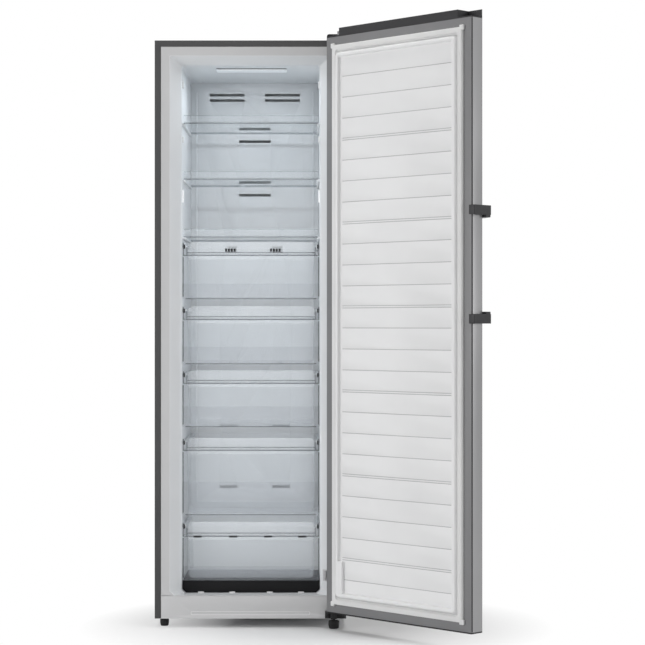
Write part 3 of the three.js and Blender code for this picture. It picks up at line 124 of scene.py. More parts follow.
def rounded(points: Sequence[Point2], radii: Sequence[float], steps: int = 4, closed: bool = True) -> list[Point2]:
    """Rounds the corners of a polygon or of an open line.

    Args:
        points: the corners in order.
        radii: one radius for each corner; 0 keeps the corner sharp.
        steps: straight stretches in each round corner.
        closed: whether the last point joins the first.

    Returns:
        The points of the rounded line, steps + 1 for each rounded corner.
    """
    made: list[Point2] = []
    count = len(points)
    for i, (point, radius) in enumerate(zip(points, radii)):
        if radius <= 0 or (not closed and i in (0, count - 1)):
            made.append(point)
            continue
        here = Vector(point)
        before = (Vector(points[i - 1]) - here).normalized()
        after = (Vector(points[(i + 1) % count]) - here).normalized()
        half = before.angle(after) / 2
        start = here + before * (radius / math.tan(half))
        end = here + after * (radius / math.tan(half))
        centre = here + (before + after).normalized() * (radius / math.sin(half))
        for k in range(steps + 1):
            share = k / steps
            arm = (start - centre).normalized().slerp((end - centre).normalized(), share)
            made.append(tuple(centre + arm * radius))
    return made


def rounded_rectangle(x0: float, x1: float, z0: float, z1: float, radius: float, steps: int = 5) -> list[Point2]:
    """A rectangle with four round corners, anticlockwise."""
    return rounded([(x0, z0), (x1, z0), (x1, z1), (x0, z1)], [radius] * 4, steps)


def at_depth(line: Iterable[Point2], y: float) -> Ring:
    """Places an outline seen from the front at a depth."""
    return [(x, y, z) for x, z in line]


# ---------------------------------------------------------------- meshes

@dataclass
class Form:
    """A mesh under construction in the millimetres of one frame of reference."""

    bm: bmesh.types.BMesh = field(default_factory=bmesh.new)

    def rings(self, rings: Sequence[Ring], cap: bool = True, join: bool = False) -> "Form":
        """Skins a row of closed rings that all have the same number of points.

        Args:
            rings: the rings in order.
            cap: whether the first and last ring are filled.
            join: whether the last ring joins the first.

        Returns:
            This form.
        """
        rows = [[self.bm.verts.new(p) for p in ring] for ring in rings]
        pairs = list(zip(rows, rows[1:])) + ([(rows[-1], rows[0])] if join else [])
        for low, high in pairs:
            for i in range(len(low)):
                j = (i + 1) % len(low)
                self.bm.faces.new((low[i], low[j], high[j], high[i]))
        if cap and not join:
            self.bm.faces.new(list(reversed(rows[0])))
            self.bm.faces.new(rows[-1])
        return self

    def box(self, low: Sequence[float], high: Sequence[float], radius: float = 0.0, steps: int = 2) -> "Form":
        """Adds a block with round edges.

        Args:
            low: its lowest corner.
            high: its highest corner.
            radius: radius of the edges.
            steps: stretches in each round edge.

        Returns:
            This form.
        """
        size = Vector(high) - Vector(low)
        place = Matrix.Translation((Vector(low) + Vector(high)) / 2) @ Matrix.Diagonal((*size, 1))
        made = bmesh.ops.create_cube(self.bm, size=1, matrix=place)["verts"]
        if radius > 0:
            edges = list({e for v in made for e in v.link_edges})
            limit = min(size) * 0.49
            bmesh.ops.bevel(
                self.bm, geom=edges, offset=min(radius, limit), segments=steps, profile=0.5, affect="EDGES",
            )
        return self

    def turned(self, centre: Sequence[float], profile: Sequence[Point2], axis: str = "Z", sides: int = 40) -> "Form":
        """Adds a body turned about an axis.

        Args:
            centre: a point on the axis from which the profile's heights count.
            profile: radius and height of each ring; the ends close on the axis.
            axis: Y or Z.
            sides: number of facets round the body.

        Returns:
            This form.
        """
        spin = Matrix.Rotation(-math.pi / 2, 3, "X") if axis == "Y" else Matrix.Identity(3)
        rings = []
        for radius, height in profile:
            ring = []
            for k in range(sides):
                angle = 2 * math.pi * k / sides
                point = Vector((radius * math.cos(angle), radius * math.sin(angle), height))
                ring.append(tuple(Vector(centre) + spin @ point))
            rings.append(ring)
        return self.rings(rings)

    def prism(self, outline: Sequence[Point2], axis: str, start: float, end: float) -> "Form":
        """Adds an outline drawn out along an axis.

        Args:
            outline: the closed outline in the two other axes, in the order X, Y, Z.
            axis: X or Y.
            start: where it starts along the axis.
            end: where it ends.

        Returns:
            This form.
        """
        return self.rings([
            [(c, a, b) if axis == "X" else (a, c, b) for a, b in outline] for c in (start, end)
        ])

    def frame(self, outer: Sequence[Point2], inner: Sequence[Point2], depths: Point2) -> "Form":
        """Adds a flat frame between two outlines seen from the front.

        Args:
            outer: the outer outline.
            inner: the inner outline, with as many points.
            depths: the depths of its two faces.

        Returns:
            This form.
        """
        start, end = depths
        rings = [at_depth(outer, start), at_depth(outer, end), at_depth(inner, end), at_depth(inner, start)]
        return self.rings(rings, cap=False, join=True)

    def done(self, piece: "Piece") -> None:
        """Turns the form into a scene object that rides on its body.

        Args:
            piece: the name, frame, body and finish of the object.
        """
        bmesh.ops.recalc_face_normals(self.bm, faces=self.bm.faces)
        mesh = bpy.data.meshes.new(piece.name)
        self.bm.to_mesh(mesh)
        self.bm.free()
        mesh.transform(piece.datum.matrix)
        for polygon in mesh.polygons:
            polygon.use_smooth = True
        mesh.set_sharp_from_angle(angle=math.radians(piece.sharp))
        mesh.materials.append(piece.finish.material())
        made = bpy.data.objects.new(piece.name, mesh)
        bpy.context.scene.collection.objects.link(made)
        if piece.thickness:
            shell = made.modifiers.new("thickness", "SOLIDIFY")
            shell.thickness = piece.thickness * MM
            shell.offset = 1 if piece.outward else -1
        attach(made, piece.body)
        if piece.replaces:
            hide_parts(*piece.replaces)
        LOG.info("made %s on %s", piece.name, piece.body)


@dataclass
class Piece:
    """What a new object is called, where it belongs and what it is made of."""

    name: str
    body: str
    slot: str
    finish: "Surface"
    datum: Datum = Datum.CABINET
    replaces: tuple[str, ...] = ()
    sharp: float = 35.0
    thickness: float = 0.0
    outward: bool = False


def smooth_shading() -> bpy.types.NodeTree:
    """Builds the modifier tree that shades a faceted mesh smooth up to an angle."""
    tree = bpy.data.node_groups.new("smooth_by_angle", "GeometryNodeTree")
    tree.interface.new_socket("Geometry", in_out="INPUT", socket_type="NodeSocketGeometry")
    tree.interface.new_socket("Geometry", in_out="OUTPUT", socket_type="NodeSocketGeometry")
    start = tree.nodes.new("NodeGroupInput")
    end = tree.nodes.new("NodeGroupOutput")
    faces = tree.nodes.new("GeometryNodeSetShadeSmooth")
    edges = tree.nodes.new("GeometryNodeSetShadeSmooth")
    edges.domain = "EDGE"
    edges.inputs["Shade Smooth"].default_value = False
    angle = tree.nodes.new("GeometryNodeInputMeshEdgeAngle")
    sharp = tree.nodes.new("FunctionNodeCompare")
    sharp.operation = "GREATER_THAN"
    sharp.inputs[1].default_value = math.radians(SMOOTH_ANGLE)
    tree.links.new(start.outputs[0], faces.inputs["Geometry"])
    tree.links.new(faces.outputs[0], edges.inputs["Geometry"])
    tree.links.new(angle.outputs["Unsigned Angle"], sharp.inputs[0])
    tree.links.new(sharp.outputs[0], edges.inputs["Selection"])
    tree.links.new(edges.outputs[0], end.inputs[0])
    return tree


@dataclass
class NodeDresser:
    """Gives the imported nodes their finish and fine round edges."""

    smooth: bpy.types.NodeTree
    weld_distance: float = 0.01
    flat_angle: float = 1.0
    edge_angle: float = 40.0

    def dress(self, node: str, finish: "Surface", edge: float, steps: int = 2) -> None:
        """Puts a finish on a node, and round edges where asked for.

        Args:
            node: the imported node's name.
            finish: its finish.
            edge: radius of its edges in millimetres, or 0 for none.
            steps: stretches in each round edge.
        """
        piece = frame["nodes"][node]
        piece.data.materials.clear()
        piece.data.materials.append(finish.material())
        weld = piece.modifiers.new("weld", "WELD")
        weld.merge_threshold = self.weld_distance * MM
        flat = piece.modifiers.new("flat", "DECIMATE")
        flat.decimate_type = "DISSOLVE"
        flat.angle_limit = math.radians(self.flat_angle)
        if edge > 0:
            bevel = piece.modifiers.new("edges", "BEVEL")
            bevel.width = edge * MM
            bevel.segments = steps
            bevel.limit_method = "ANGLE"
            bevel.angle_limit = math.radians(self.edge_angle)
        shade = piece.modifiers.new("shade", "NODES")
        shade.node_group = self.smooth
        LOG.info("dressed %s", node)


# ---------------------------------------------------------------- shader effects

class Wires:
    """A node tree with short ways to add nodes and join them."""

    def __init__(self, tree: bpy.types.NodeTree) -> None:
        """Keeps the tree.

        Args:
            tree: a material's or a group's node tree.
        """
        self.tree = tree

    def add(self, kind: str, settings: dict | None = None, values: dict | None = None) -> bpy.types.Node:
        """Adds a node.

        Args:
            kind: the node's type without its Shader prefix.
            settings: attributes of the node.
            values: default values of its inputs, by name or index.

        Returns:
            The node.
        """
        node = self.tree.nodes.new("ShaderNode" + kind)
        for name, value in (settings or {}).items():
            setattr(node, name, value)
        for name, value in (values or {}).items():
            node.inputs[name].default_value = value
        return node

    def join(self, output: bpy.types.NodeSocket, target: bpy.types.NodeSocket) -> None:
        """Links two sockets."""
        self.tree.links.new(output, target)

    def ramp(self, source: bpy.types.NodeSocket, low: float, high: float, to_low: float = 0.0,
             to_high: float = 1.0) -> bpy.types.NodeSocket:
        """Maps a value from one range to another, clamped.

        Args:
            source: the value.
            low: start of its range.
            high: end of its range.
            to_low: result at the start.
            to_high: result at the end.

        Returns:
            The result's socket.
        """
        node = self.add("MapRange", {"clamp": True}, {1: low, 2: high, 3: to_low, 4: to_high})
        self.join(source, node.inputs[0])
        return node.outputs[0]

    def blend(self, mask: bpy.types.NodeSocket, first: Colour, second: Colour) -> bpy.types.NodeSocket:
        """Mixes two colours by a mask.

        Args:
            mask: 0 for the first colour and 1 for the second.
            first: the first colour.
            second: the second colour.

        Returns:
            The colour's socket.
        """
        node = self.add("Mix", {"data_type": "RGBA"})
        node.inputs[6].default_value = (*first, 1)
        node.inputs[7].default_value = (*second, 1)
        self.join(mask, node.inputs[0])
        return node.outputs[2]

    def cover(self, mask: bpy.types.NodeSocket, under: bpy.types.NodeSocket, over: Colour) -> bpy.types.NodeSocket:
        """Lays one colour over another.

        Args:
            mask: where the upper colour lies.
            under: the lower colour's socket.
            over: the upper colour.

        Returns:
            The colour's socket.
        """
        node = self.add("Mix", {"data_type": "RGBA"})
        node.inputs[7].default_value = (*over, 1)
        self.join(under, node.inputs[6])
        self.join(mask, node.inputs[0])
        return node.outputs[2]

    def relief(self, height: bpy.types.NodeSocket, strength: float, depth: float, shader: bpy.types.Node) -> None:
        """Gives a shader a fine relief.

        Args:
            height: the height's socket.
            strength: the relief's strength.
            depth: its depth in metres.
            shader: the material's Principled node.
        """
        bump = self.add("Bump", values={"Strength": strength, "Distance": depth})
        self.join(height, bump.inputs["Height"])
        self.join(bump.outputs[0], shader.inputs["Normal"])

    def math(self, operation: str, first: bpy.types.NodeSocket,
             second: bpy.types.NodeSocket | float) -> bpy.types.NodeSocket:
        """Combines two values.

        Args:
            operation: the Math node's operation.
            first: the first value.
            second: the second value, or a number.

        Returns:
            The result's socket.
        """
        node = self.add("Math", {"operation": operation})
        self.join(first, node.inputs[0])
        if isinstance(second, (int, float)):
            node.inputs[1].default_value = second
        else:
            self.join(second, node.inputs[1])
        return node.outputs[0]


def effect(name: str, inputs: dict[str, float], outputs: Sequence[str],
           build: Callable[[Wires, bpy.types.Node, bpy.types.Node], None]) -> bpy.types.NodeTree:
    """Makes a shader node group once.

    Args:
        name: the group's name.
        inputs: names and default values of its inputs.
        outputs: names of its outputs.
        build: fills the tree, given its wires, its input node and its output node.

    Returns:
        The group.
    """
    found = bpy.data.node_groups.get(name)
    if found:
        return found
    tree = bpy.data.node_groups.new(name, "ShaderNodeTree")
    for label, value in inputs.items():
        socket = tree.interface.new_socket(label, in_out="INPUT", socket_type="NodeSocketFloat")
        socket.default_value = value
    for label in outputs:
        tree.interface.new_socket(label, in_out="OUTPUT", socket_type="NodeSocketFloat")
    wires = Wires(tree)
    build(wires, tree.nodes.new("NodeGroupInput"), tree.nodes.new("NodeGroupOutput"))
    return tree


def _grain(w: Wires, start: bpy.types.Node, end: bpy.types.Node) -> None:
    """Fills the moulded grain: fine height and a broad cloudy tone."""
    place = w.add("TexCoord").outputs["Object"]
    fine = w.add("TexNoise", values={"Detail": 2.0, "Roughness": 0.6})
    w.join(place, fine.inputs["Vector"])
    w.join(start.outputs["Fine"], fine.inputs["Scale"])
    broad = w.add("TexNoise", values={"Detail": 3.0, "Roughness": 0.55})
    w.join(place, broad.inputs["Vector"])
    w.join(start.outputs["Broad"], broad.inputs["Scale"])
    w.join(fine.outputs["Fac"], end.inputs["Height"])
    w.join(w.ramp(broad.outputs["Fac"], 0.3, 0.7), end.inputs["Tone"])


def _brushing(w: Wires, start: bpy.types.Node, end: bpy.types.Node) -> None:
    """Fills the brushed lines: a noise drawn out along the vertical."""
    place = w.add("TexCoord").outputs["Object"]
    scale = w.add("CombineXYZ")
    w.join(start.outputs["Across"], scale.inputs["X"])
    w.join(start.outputs["Across"], scale.inputs["Y"])
    w.join(start.outputs["Along"], scale.inputs["Z"])
    drawn = w.add("VectorMath", {"operation": "MULTIPLY"})
    w.join(place, drawn.inputs[0])
    w.join(scale.outputs[0], drawn.inputs[1])
    lines = w.add("TexNoise", values={"Scale": 1.0, "Detail": 4.0, "Roughness": 0.7})
    w.join(drawn.outputs[0], lines.inputs["Vector"])
    broad = w.add("TexNoise", values={"Scale": 2.2, "Detail": 2.0})
    w.join(place, broad.inputs["Vector"])
    w.join(lines.outputs["Fac"], end.inputs["Height"])
    w.join(w.ramp(broad.outputs["Fac"], 0.3, 0.7), end.inputs["Tone"])


def _dust(w: Wires, start: bpy.types.Node, end: bpy.types.Node) -> None:
    """Fills the settled dust: upward faces, broken up by noise."""
    normal = w.add("SeparateXYZ")
    w.join(w.add("NewGeometry").outputs["Normal"], normal.inputs[0])
    up = w.ramp(normal.outputs["Z"], 0.5, 1.0)
    cloud = w.add("TexNoise", values={"Detail": 5.0, "Roughness": 0.65})
    w.join(w.add("TexCoord").outputs["Object"], cloud.inputs["Vector"])
    w.join(start.outputs["Scale"], cloud.inputs["Scale"])
    patchy = w.math("MULTIPLY", up, w.ramp(cloud.outputs["Fac"], 0.35, 0.8))
    w.join(w.math("MULTIPLY", patchy, start.outputs["Amount"]), end.inputs["Mask"])


def _frost(w: Wires, start: bpy.types.Node, end: bpy.types.Node) -> None:
    """Fills the frosted band: 1 under a height, with a soft upper end."""
    place = w.add("SeparateXYZ")
    w.join(w.add("TexCoord").outputs["Object"], place.inputs[0])
    gap = w.math("SUBTRACT", start.outputs["Height"], place.outputs["Z"])
    w.join(w.ramp(gap, 0.0, 0.003), end.inputs["Mask"])


class Effects:
    """The shared shader effects, each built once."""

    @staticmethod
    def grain() -> bpy.types.NodeTree:
        """Fine moulded or sprayed texture with a broad tone."""
        return effect("surface_grain", {"Fine": 900.0, "Broad": 4.0}, ("Height", "Tone"), _grain)

    @staticmethod
    def brushing() -> bpy.types.NodeTree:
        """Vertical brushed lines."""
        return effect("brushed_lines", {"Across": 1400.0, "Along": 9.0}, ("Height", "Tone"), _brushing)

    @staticmethod
    def dust() -> bpy.types.NodeTree:
        """Dust that settles on upward faces."""
        return effect("settled_dust", {"Scale": 12.0, "Amount": 0.5}, ("Mask",), _dust)

    @staticmethod
    def frost() -> bpy.types.NodeTree:
        """A frosted band under a height."""
        return effect("frosted_band", {"Height": 0.5}, ("Mask",), _frost)


# ---------------------------------------------------------------- finishes

@dataclass(frozen=True)
class Surface:
    """A procedural material, built once under its name."""

    name: str

    def material(self) -> bpy.types.Material:
        """Builds the material once, or finds it."""
        found = bpy.data.materials.get(self.name)
        if found:
            return found
        made = bpy.data.materials.new(self.name)
        made.use_nodes = True
        self.fill(Wires(made.node_tree), made.node_tree.nodes["Principled BSDF"])
        return made

    def fill(self, wires: Wires, shader: bpy.types.Node) -> None:
        """Joins the surface's nodes to its Principled node."""
        raise NotImplementedError


@dataclass(frozen=True)
class Finish(Surface):
    """An opaque surface: two near colours, a grain, and dust on its upward faces."""

    colour: Colour
    second: Colour
    rough: float = 0.45
    rough_spread: float = 0.08
    metallic: float = 0.0
    fine: float = 900.0
    broad: float = 4.0
    bump: float = 0.04
    bump_depth: float = 0.0002
    dust: float = 0.15
    coat: float = 0.0
    specular: float = 0.5
    coat_rough: float = 0.15
    dust_colour: Colour = (0.52, 0.51, 0.49)

    def pattern(self, wires: Wires) -> bpy.types.Node:
        """Places the grain effect."""
        return wires.add("Group", {"node_tree": Effects.grain()}, {"Fine": self.fine, "Broad": self.broad})

    def fill(self, wires: Wires, shader: bpy.types.Node) -> None:
        """Joins colour, roughness and relief to the shader.

        Args:
            wires: the material's wires.
            shader: its Principled node.
        """
        shader.inputs["Metallic"].default_value = self.metallic
        shader.inputs["Specular IOR Level"].default_value = self.specular
        shader.inputs["Coat Weight"].default_value = self.coat
        shader.inputs["Coat Roughness"].default_value = self.coat_rough
        grain = self.pattern(wires)
        colour = wires.blend(grain.outputs["Tone"], self.colour, self.second)
        if self.dust > 0:
            dust = wires.add("Group", {"node_tree": Effects.dust()}, {"Amount": self.dust})
            colour = wires.cover(dust.outputs["Mask"], colour, self.dust_colour)
        wires.join(colour, shader.inputs["Base Color"])
        low, high = self.rough - self.rough_spread, self.rough + self.rough_spread
        wires.join(wires.ramp(grain.outputs["Tone"], 0, 1, low, high), shader.inputs["Roughness"])
        wires.relief(grain.outputs["Height"], self.bump, self.bump_depth, shader)


@dataclass(frozen=True)
class Brushed(Finish):
    """Metal with fine vertical brushed lines."""

    across: float = 1400.0
    along: float = 9.0

    def pattern(self, wires: Wires) -> bpy.types.Node:
        """Places the brushed lines."""
        return wires.add("Group", {"node_tree": Effects.brushing()}, {"Across": self.across, "Along": self.along})


@dataclass(frozen=True)
class Spangled(Finish):
    """Zinc-coated sheet with a crystal pattern."""

    crystal: float = 110.0
    crystal_spread: float = 0.1

    def fill(self, wires: Wires, shader: bpy.types.Node) -> None:
        """Adds the crystals to the colour and the roughness."""
        super().fill(wires, shader)
        cells = wires.add("TexVoronoi", values={"Scale": self.crystal, "Randomness": 1.0})
        wires.join(wires.add("TexCoord").outputs["Object"], cells.inputs["Vector"])
        shade = wires.add("SeparateColor")
        wires.join(cells.outputs["Color"], shade.inputs[0])
        wires.join(wires.blend(shade.outputs[0], self.colour, self.second), shader.inputs["Base Color"])
        low, high = self.rough - self.crystal_spread, self.rough + self.crystal_spread
        wires.join(wires.ramp(shade.outputs[1], 0, 1, low, high), shader.inputs["Roughness"])


@dataclass(frozen=True)
class Clear(Surface):
    """See-through plastic or glass with denser edges, darkened at grazing angles by painted shade that stands in for
    reflection, and an optional frosted band.
    """

    colour: Colour
    grazing_shade_colour: Colour
    face_alpha: float = 0.14
    edge_alpha: float = 0.6
    rough: float = 0.08
    frost_height: float | None = None
    frost_alpha: float = 0.34
    frost_colour: Colour = (0.42, 0.44, 0.47)
    fine: float = 700.0
    broad: float = 5.0
    rough_spread: float = 0.07
    frost_rough: float = 0.3
    facing_blend: float = 0.35
    edge_start: float = 0.45
    alpha_start: float = 0.3
    edge_end: float = 0.95
    bump: float = 0.012
    bump_depth: float = 0.0002

    def fill(self, wires: Wires, shader: bpy.types.Node) -> None:
        """Joins tint, alpha, roughness and relief to the shader.

        Args:
            wires: the material's wires.
            shader: its Principled node.
        """
        w = wires
        facing = w.add("LayerWeight", values={"Blend": self.facing_blend}).outputs["Facing"]
        edge = w.ramp(facing, self.edge_start, self.edge_end)
        # painted shade: the tint darkens at grazing angles, standing in for the dark edges that reflection gives clear
        # plastic and glass
        tint = w.blend(edge, self.colour, self.grazing_shade_colour)
        grain = w.add("Group", {"node_tree": Effects.grain()}, {"Fine": self.fine, "Broad": self.broad})
        alpha = w.ramp(facing, self.alpha_start, self.edge_end, self.face_alpha, self.edge_alpha)
        rough = w.ramp(grain.outputs["Tone"], 0, 1, self.rough, self.rough + self.rough_spread)
        if self.frost_height is not None:
            frost = w.add("Group", {"node_tree": Effects.frost()}, {"Height": self.frost_height}).outputs["Mask"]
            alpha = w.math("ADD", alpha, w.ramp(frost, 0, 1, 0.0, self.frost_alpha - self.face_alpha))
            rough = w.math("ADD", rough, w.ramp(frost, 0, 1, 0.0, self.frost_rough))
            tint = w.cover(frost, tint, self.frost_colour)
        w.join(tint, shader.inputs["Base Color"])
        w.join(alpha, shader.inputs["Alpha"])
        w.join(rough, shader.inputs["Roughness"])
        w.relief(grain.outputs["Height"], self.bump, self.bump_depth, shader)


@dataclass(frozen=True)
class Lit(Finish):
    """A lamp diffuser that glows faintly."""

    glow: Colour = (0.85, 0.93, 1.0)
    strength: float = 1.0

    def fill(self, wires: Wires, shader: bpy.types.Node) -> None:
        """Adds the glow to the plain surface."""
        super().fill(wires, shader)
        shader.inputs["Emission Color"].default_value = (*self.glow, 1)
        shader.inputs["Emission Strength"].default_value = self.strength


DARK_SHEET = Finish("textured_dark_sheet", (0.038, 0.038, 0.039), (0.048, 0.048, 0.049), 0.5, 0.06,
                    fine=1500.0, bump=0.5, bump_depth=0.0004, dust=0.1)
ZINC = Spangled("zinc_sheet", (0.5, 0.51, 0.52), (0.62, 0.63, 0.64), 0.42, 0.1, 0.9)
LINER = Finish("moulded_liner", (0.66, 0.675, 0.69), (0.7, 0.71, 0.72), 0.42, 0.06, bump=0.05)
DOOR_LINER = Finish("moulded_door_liner", (0.77, 0.77, 0.775), (0.81, 0.81, 0.812), 0.42, 0.06, bump=0.05)
FLANGE = Finish("liner_flange_grey", (0.53, 0.53, 0.535), (0.56, 0.56, 0.565), 0.42, 0.06, bump=0.05)
# Painted shade: a darker copy of the door liner's white, laid along the bottom of each groove where its shadow falls.
GROOVE_SHADE = Finish("painted_groove_shade", (0.44, 0.44, 0.445), (0.48, 0.48, 0.485), 0.5, 0.06, bump=0.05)
APRON = Finish("painted_front_strip", (0.57, 0.57, 0.575), (0.61, 0.61, 0.615), 0.45, 0.05)
BLACK_PLASTIC = Finish("black_moulding", (0.01, 0.01, 0.011), (0.016, 0.016, 0.017), 0.55, 0.08,
                       fine=1300.0, bump=0.25, dust=0.04, specular=0.25)
CAP_PLASTIC = Finish("door_cap_moulding", (0.018, 0.018, 0.02), (0.026, 0.026, 0.028), 0.55, 0.08,
                     fine=1300.0, bump=0.25, dust=0.05, specular=0.3)
# Near black: the deck is dark plastic, and part of its darkness is painted shade of the gap under the lowest drawer.
DECK_BLACK_AND_SHADE = Finish("deck_black_and_painted_shade", (0.009, 0.009, 0.01), (0.014, 0.014, 0.015), 0.55, 0.08, dust=0.04,
                      specular=0.15)
RUBBER = Finish("foot_rubber", (0.01, 0.01, 0.011), (0.017, 0.017, 0.017), 0.7, 0.1, fine=500.0,
                bump=0.4, bump_depth=0.0004, dust=0.05, specular=0.25)
HINGE_PAINT = Finish("hinge_paint", (0.01, 0.01, 0.011), (0.016, 0.016, 0.017), 0.5, 0.06, fine=350.0,
                     bump=0.1, dust=0.04, specular=0.3)
GASKET = Finish("gasket_rubber", (0.68, 0.68, 0.68), (0.74, 0.74, 0.735), 0.6, 0.06)
FRAME_GREY = Finish("door_frame_moulding", (0.165, 0.165, 0.17), (0.19, 0.19, 0.195), 0.45, 0.06,
                    fine=1100.0, bump=0.15)
STAINLESS = Brushed("brushed_stainless", (0.26, 0.26, 0.265), (0.31, 0.31, 0.315), 0.36, 0.05, 0.85,
                    bump=0.12, bump_depth=0.0001, dust=0.0)
FOAM = Finish("rigid_foam", (0.78, 0.66, 0.4), (0.84, 0.74, 0.5), 0.9, 0.05, fine=240.0, bump=0.6,
              bump_depth=0.001)
ENAMEL = Finish("black_enamel", (0.012, 0.012, 0.013), (0.02, 0.02, 0.021), 0.3, 0.06, coat=0.4,
                fine=350.0, bump=0.12)
HANDLE = Finish("handle_paint", (0.026, 0.026, 0.028), (0.036, 0.036, 0.038), 0.42, 0.06, 0.2,
                fine=1400.0, bump=0.2, specular=0.35)
COIL = Finish("coil_aluminium", (0.6, 0.61, 0.62), (0.7, 0.7, 0.71), 0.35, 0.1, 0.9)
SWITCH = Finish("switch_moulding", (0.5, 0.5, 0.51), (0.56, 0.56, 0.565), 0.4, 0.05)
BUSH = Finish("bush_moulding", (0.72, 0.72, 0.69), (0.77, 0.77, 0.74), 0.4, 0.05)
LAMP = Lit("lamp_diffuser", (0.17, 0.18, 0.19), (0.2, 0.21, 0.22), 0.4, 0.04, dust=0.0, specular=0.2,
           strength=0.02)
LAMP_PLATE = Lit("lamp_plate", (0.85, 0.87, 0.9), (0.9, 0.9, 0.92), 0.4, 0.04, dust=0.0, strength=0.2)
GLASS = Clear("shelf_glass_sheet", (0.7, 0.78, 0.81), (0.42, 0.5, 0.54), 0.05, 0.16, 0.03)
TRIM = Clear("shelf_lip_plastic", (0.82, 0.88, 0.92), (0.36, 0.42, 0.47), 0.05, 0.3, 0.06)
RAIL = Clear("shelf_rail_plastic", (0.42, 0.45, 0.48), (0.3, 0.32, 0.34), 0.45, 0.7, 0.1)
# Smoked plastic for the drawers' hooks and lines and the shelves' front lines; on the drawers it also paints the shade
# in the gaps along the fronts' bottoms and sides.
SMOKED_AND_SHADE = Clear("smoked_plastic_and_painted_shade", (0.13, 0.14, 0.15), (0.07, 0.075, 0.08), 0.66, 0.9, 0.15)
BAND = Clear("drawer_band_plastic", (0.78, 0.8, 0.82), (0.45, 0.47, 0.5), 0.11, 0.5, 0.1)
TUB = Clear("drawer_tub_plastic", (0.8, 0.85, 0.89), (0.4, 0.43, 0.46), 0.04, 0.4, 0.07)

CLEAR_LAYERS = 32
DIFFUSE_BOUNCES = 6
SHELVES = 3
DRAWERS = 5
GRIP_DROPS = (40.0, 40.0, 38.0, 36.0, 42.0)
FOOT_HEIGHTS = {"left_foot": 21.0, "right_foot": 25.0}


@dataclass(frozen=True)
class SlotRow:
    """A row of dark slots across a drawer, with depths from its front and rises from its finger ledge."""

    places: tuple[float, ...]
    half: float
    depths: Point2
    rises: Point2
    radius: float


BAND_VENTS = tuple(vent + bar for vent in (-65.0, 76.0) for bar in (-13.5, -4.5, 4.5, 13.5))
SLOT_ROWS = {
    1: SlotRow(BAND_VENTS, 3.2, (13.5, 15.0), (10.0, 20.0), 0.5),
    DRAWERS: SlotRow((-167.0, -55.0, 54.0, 161.0), 13.0, (-1.2, 0.8), (-5.4, 0.6), 0.6),
}


# ---------------------------------------------------------------- cabinet

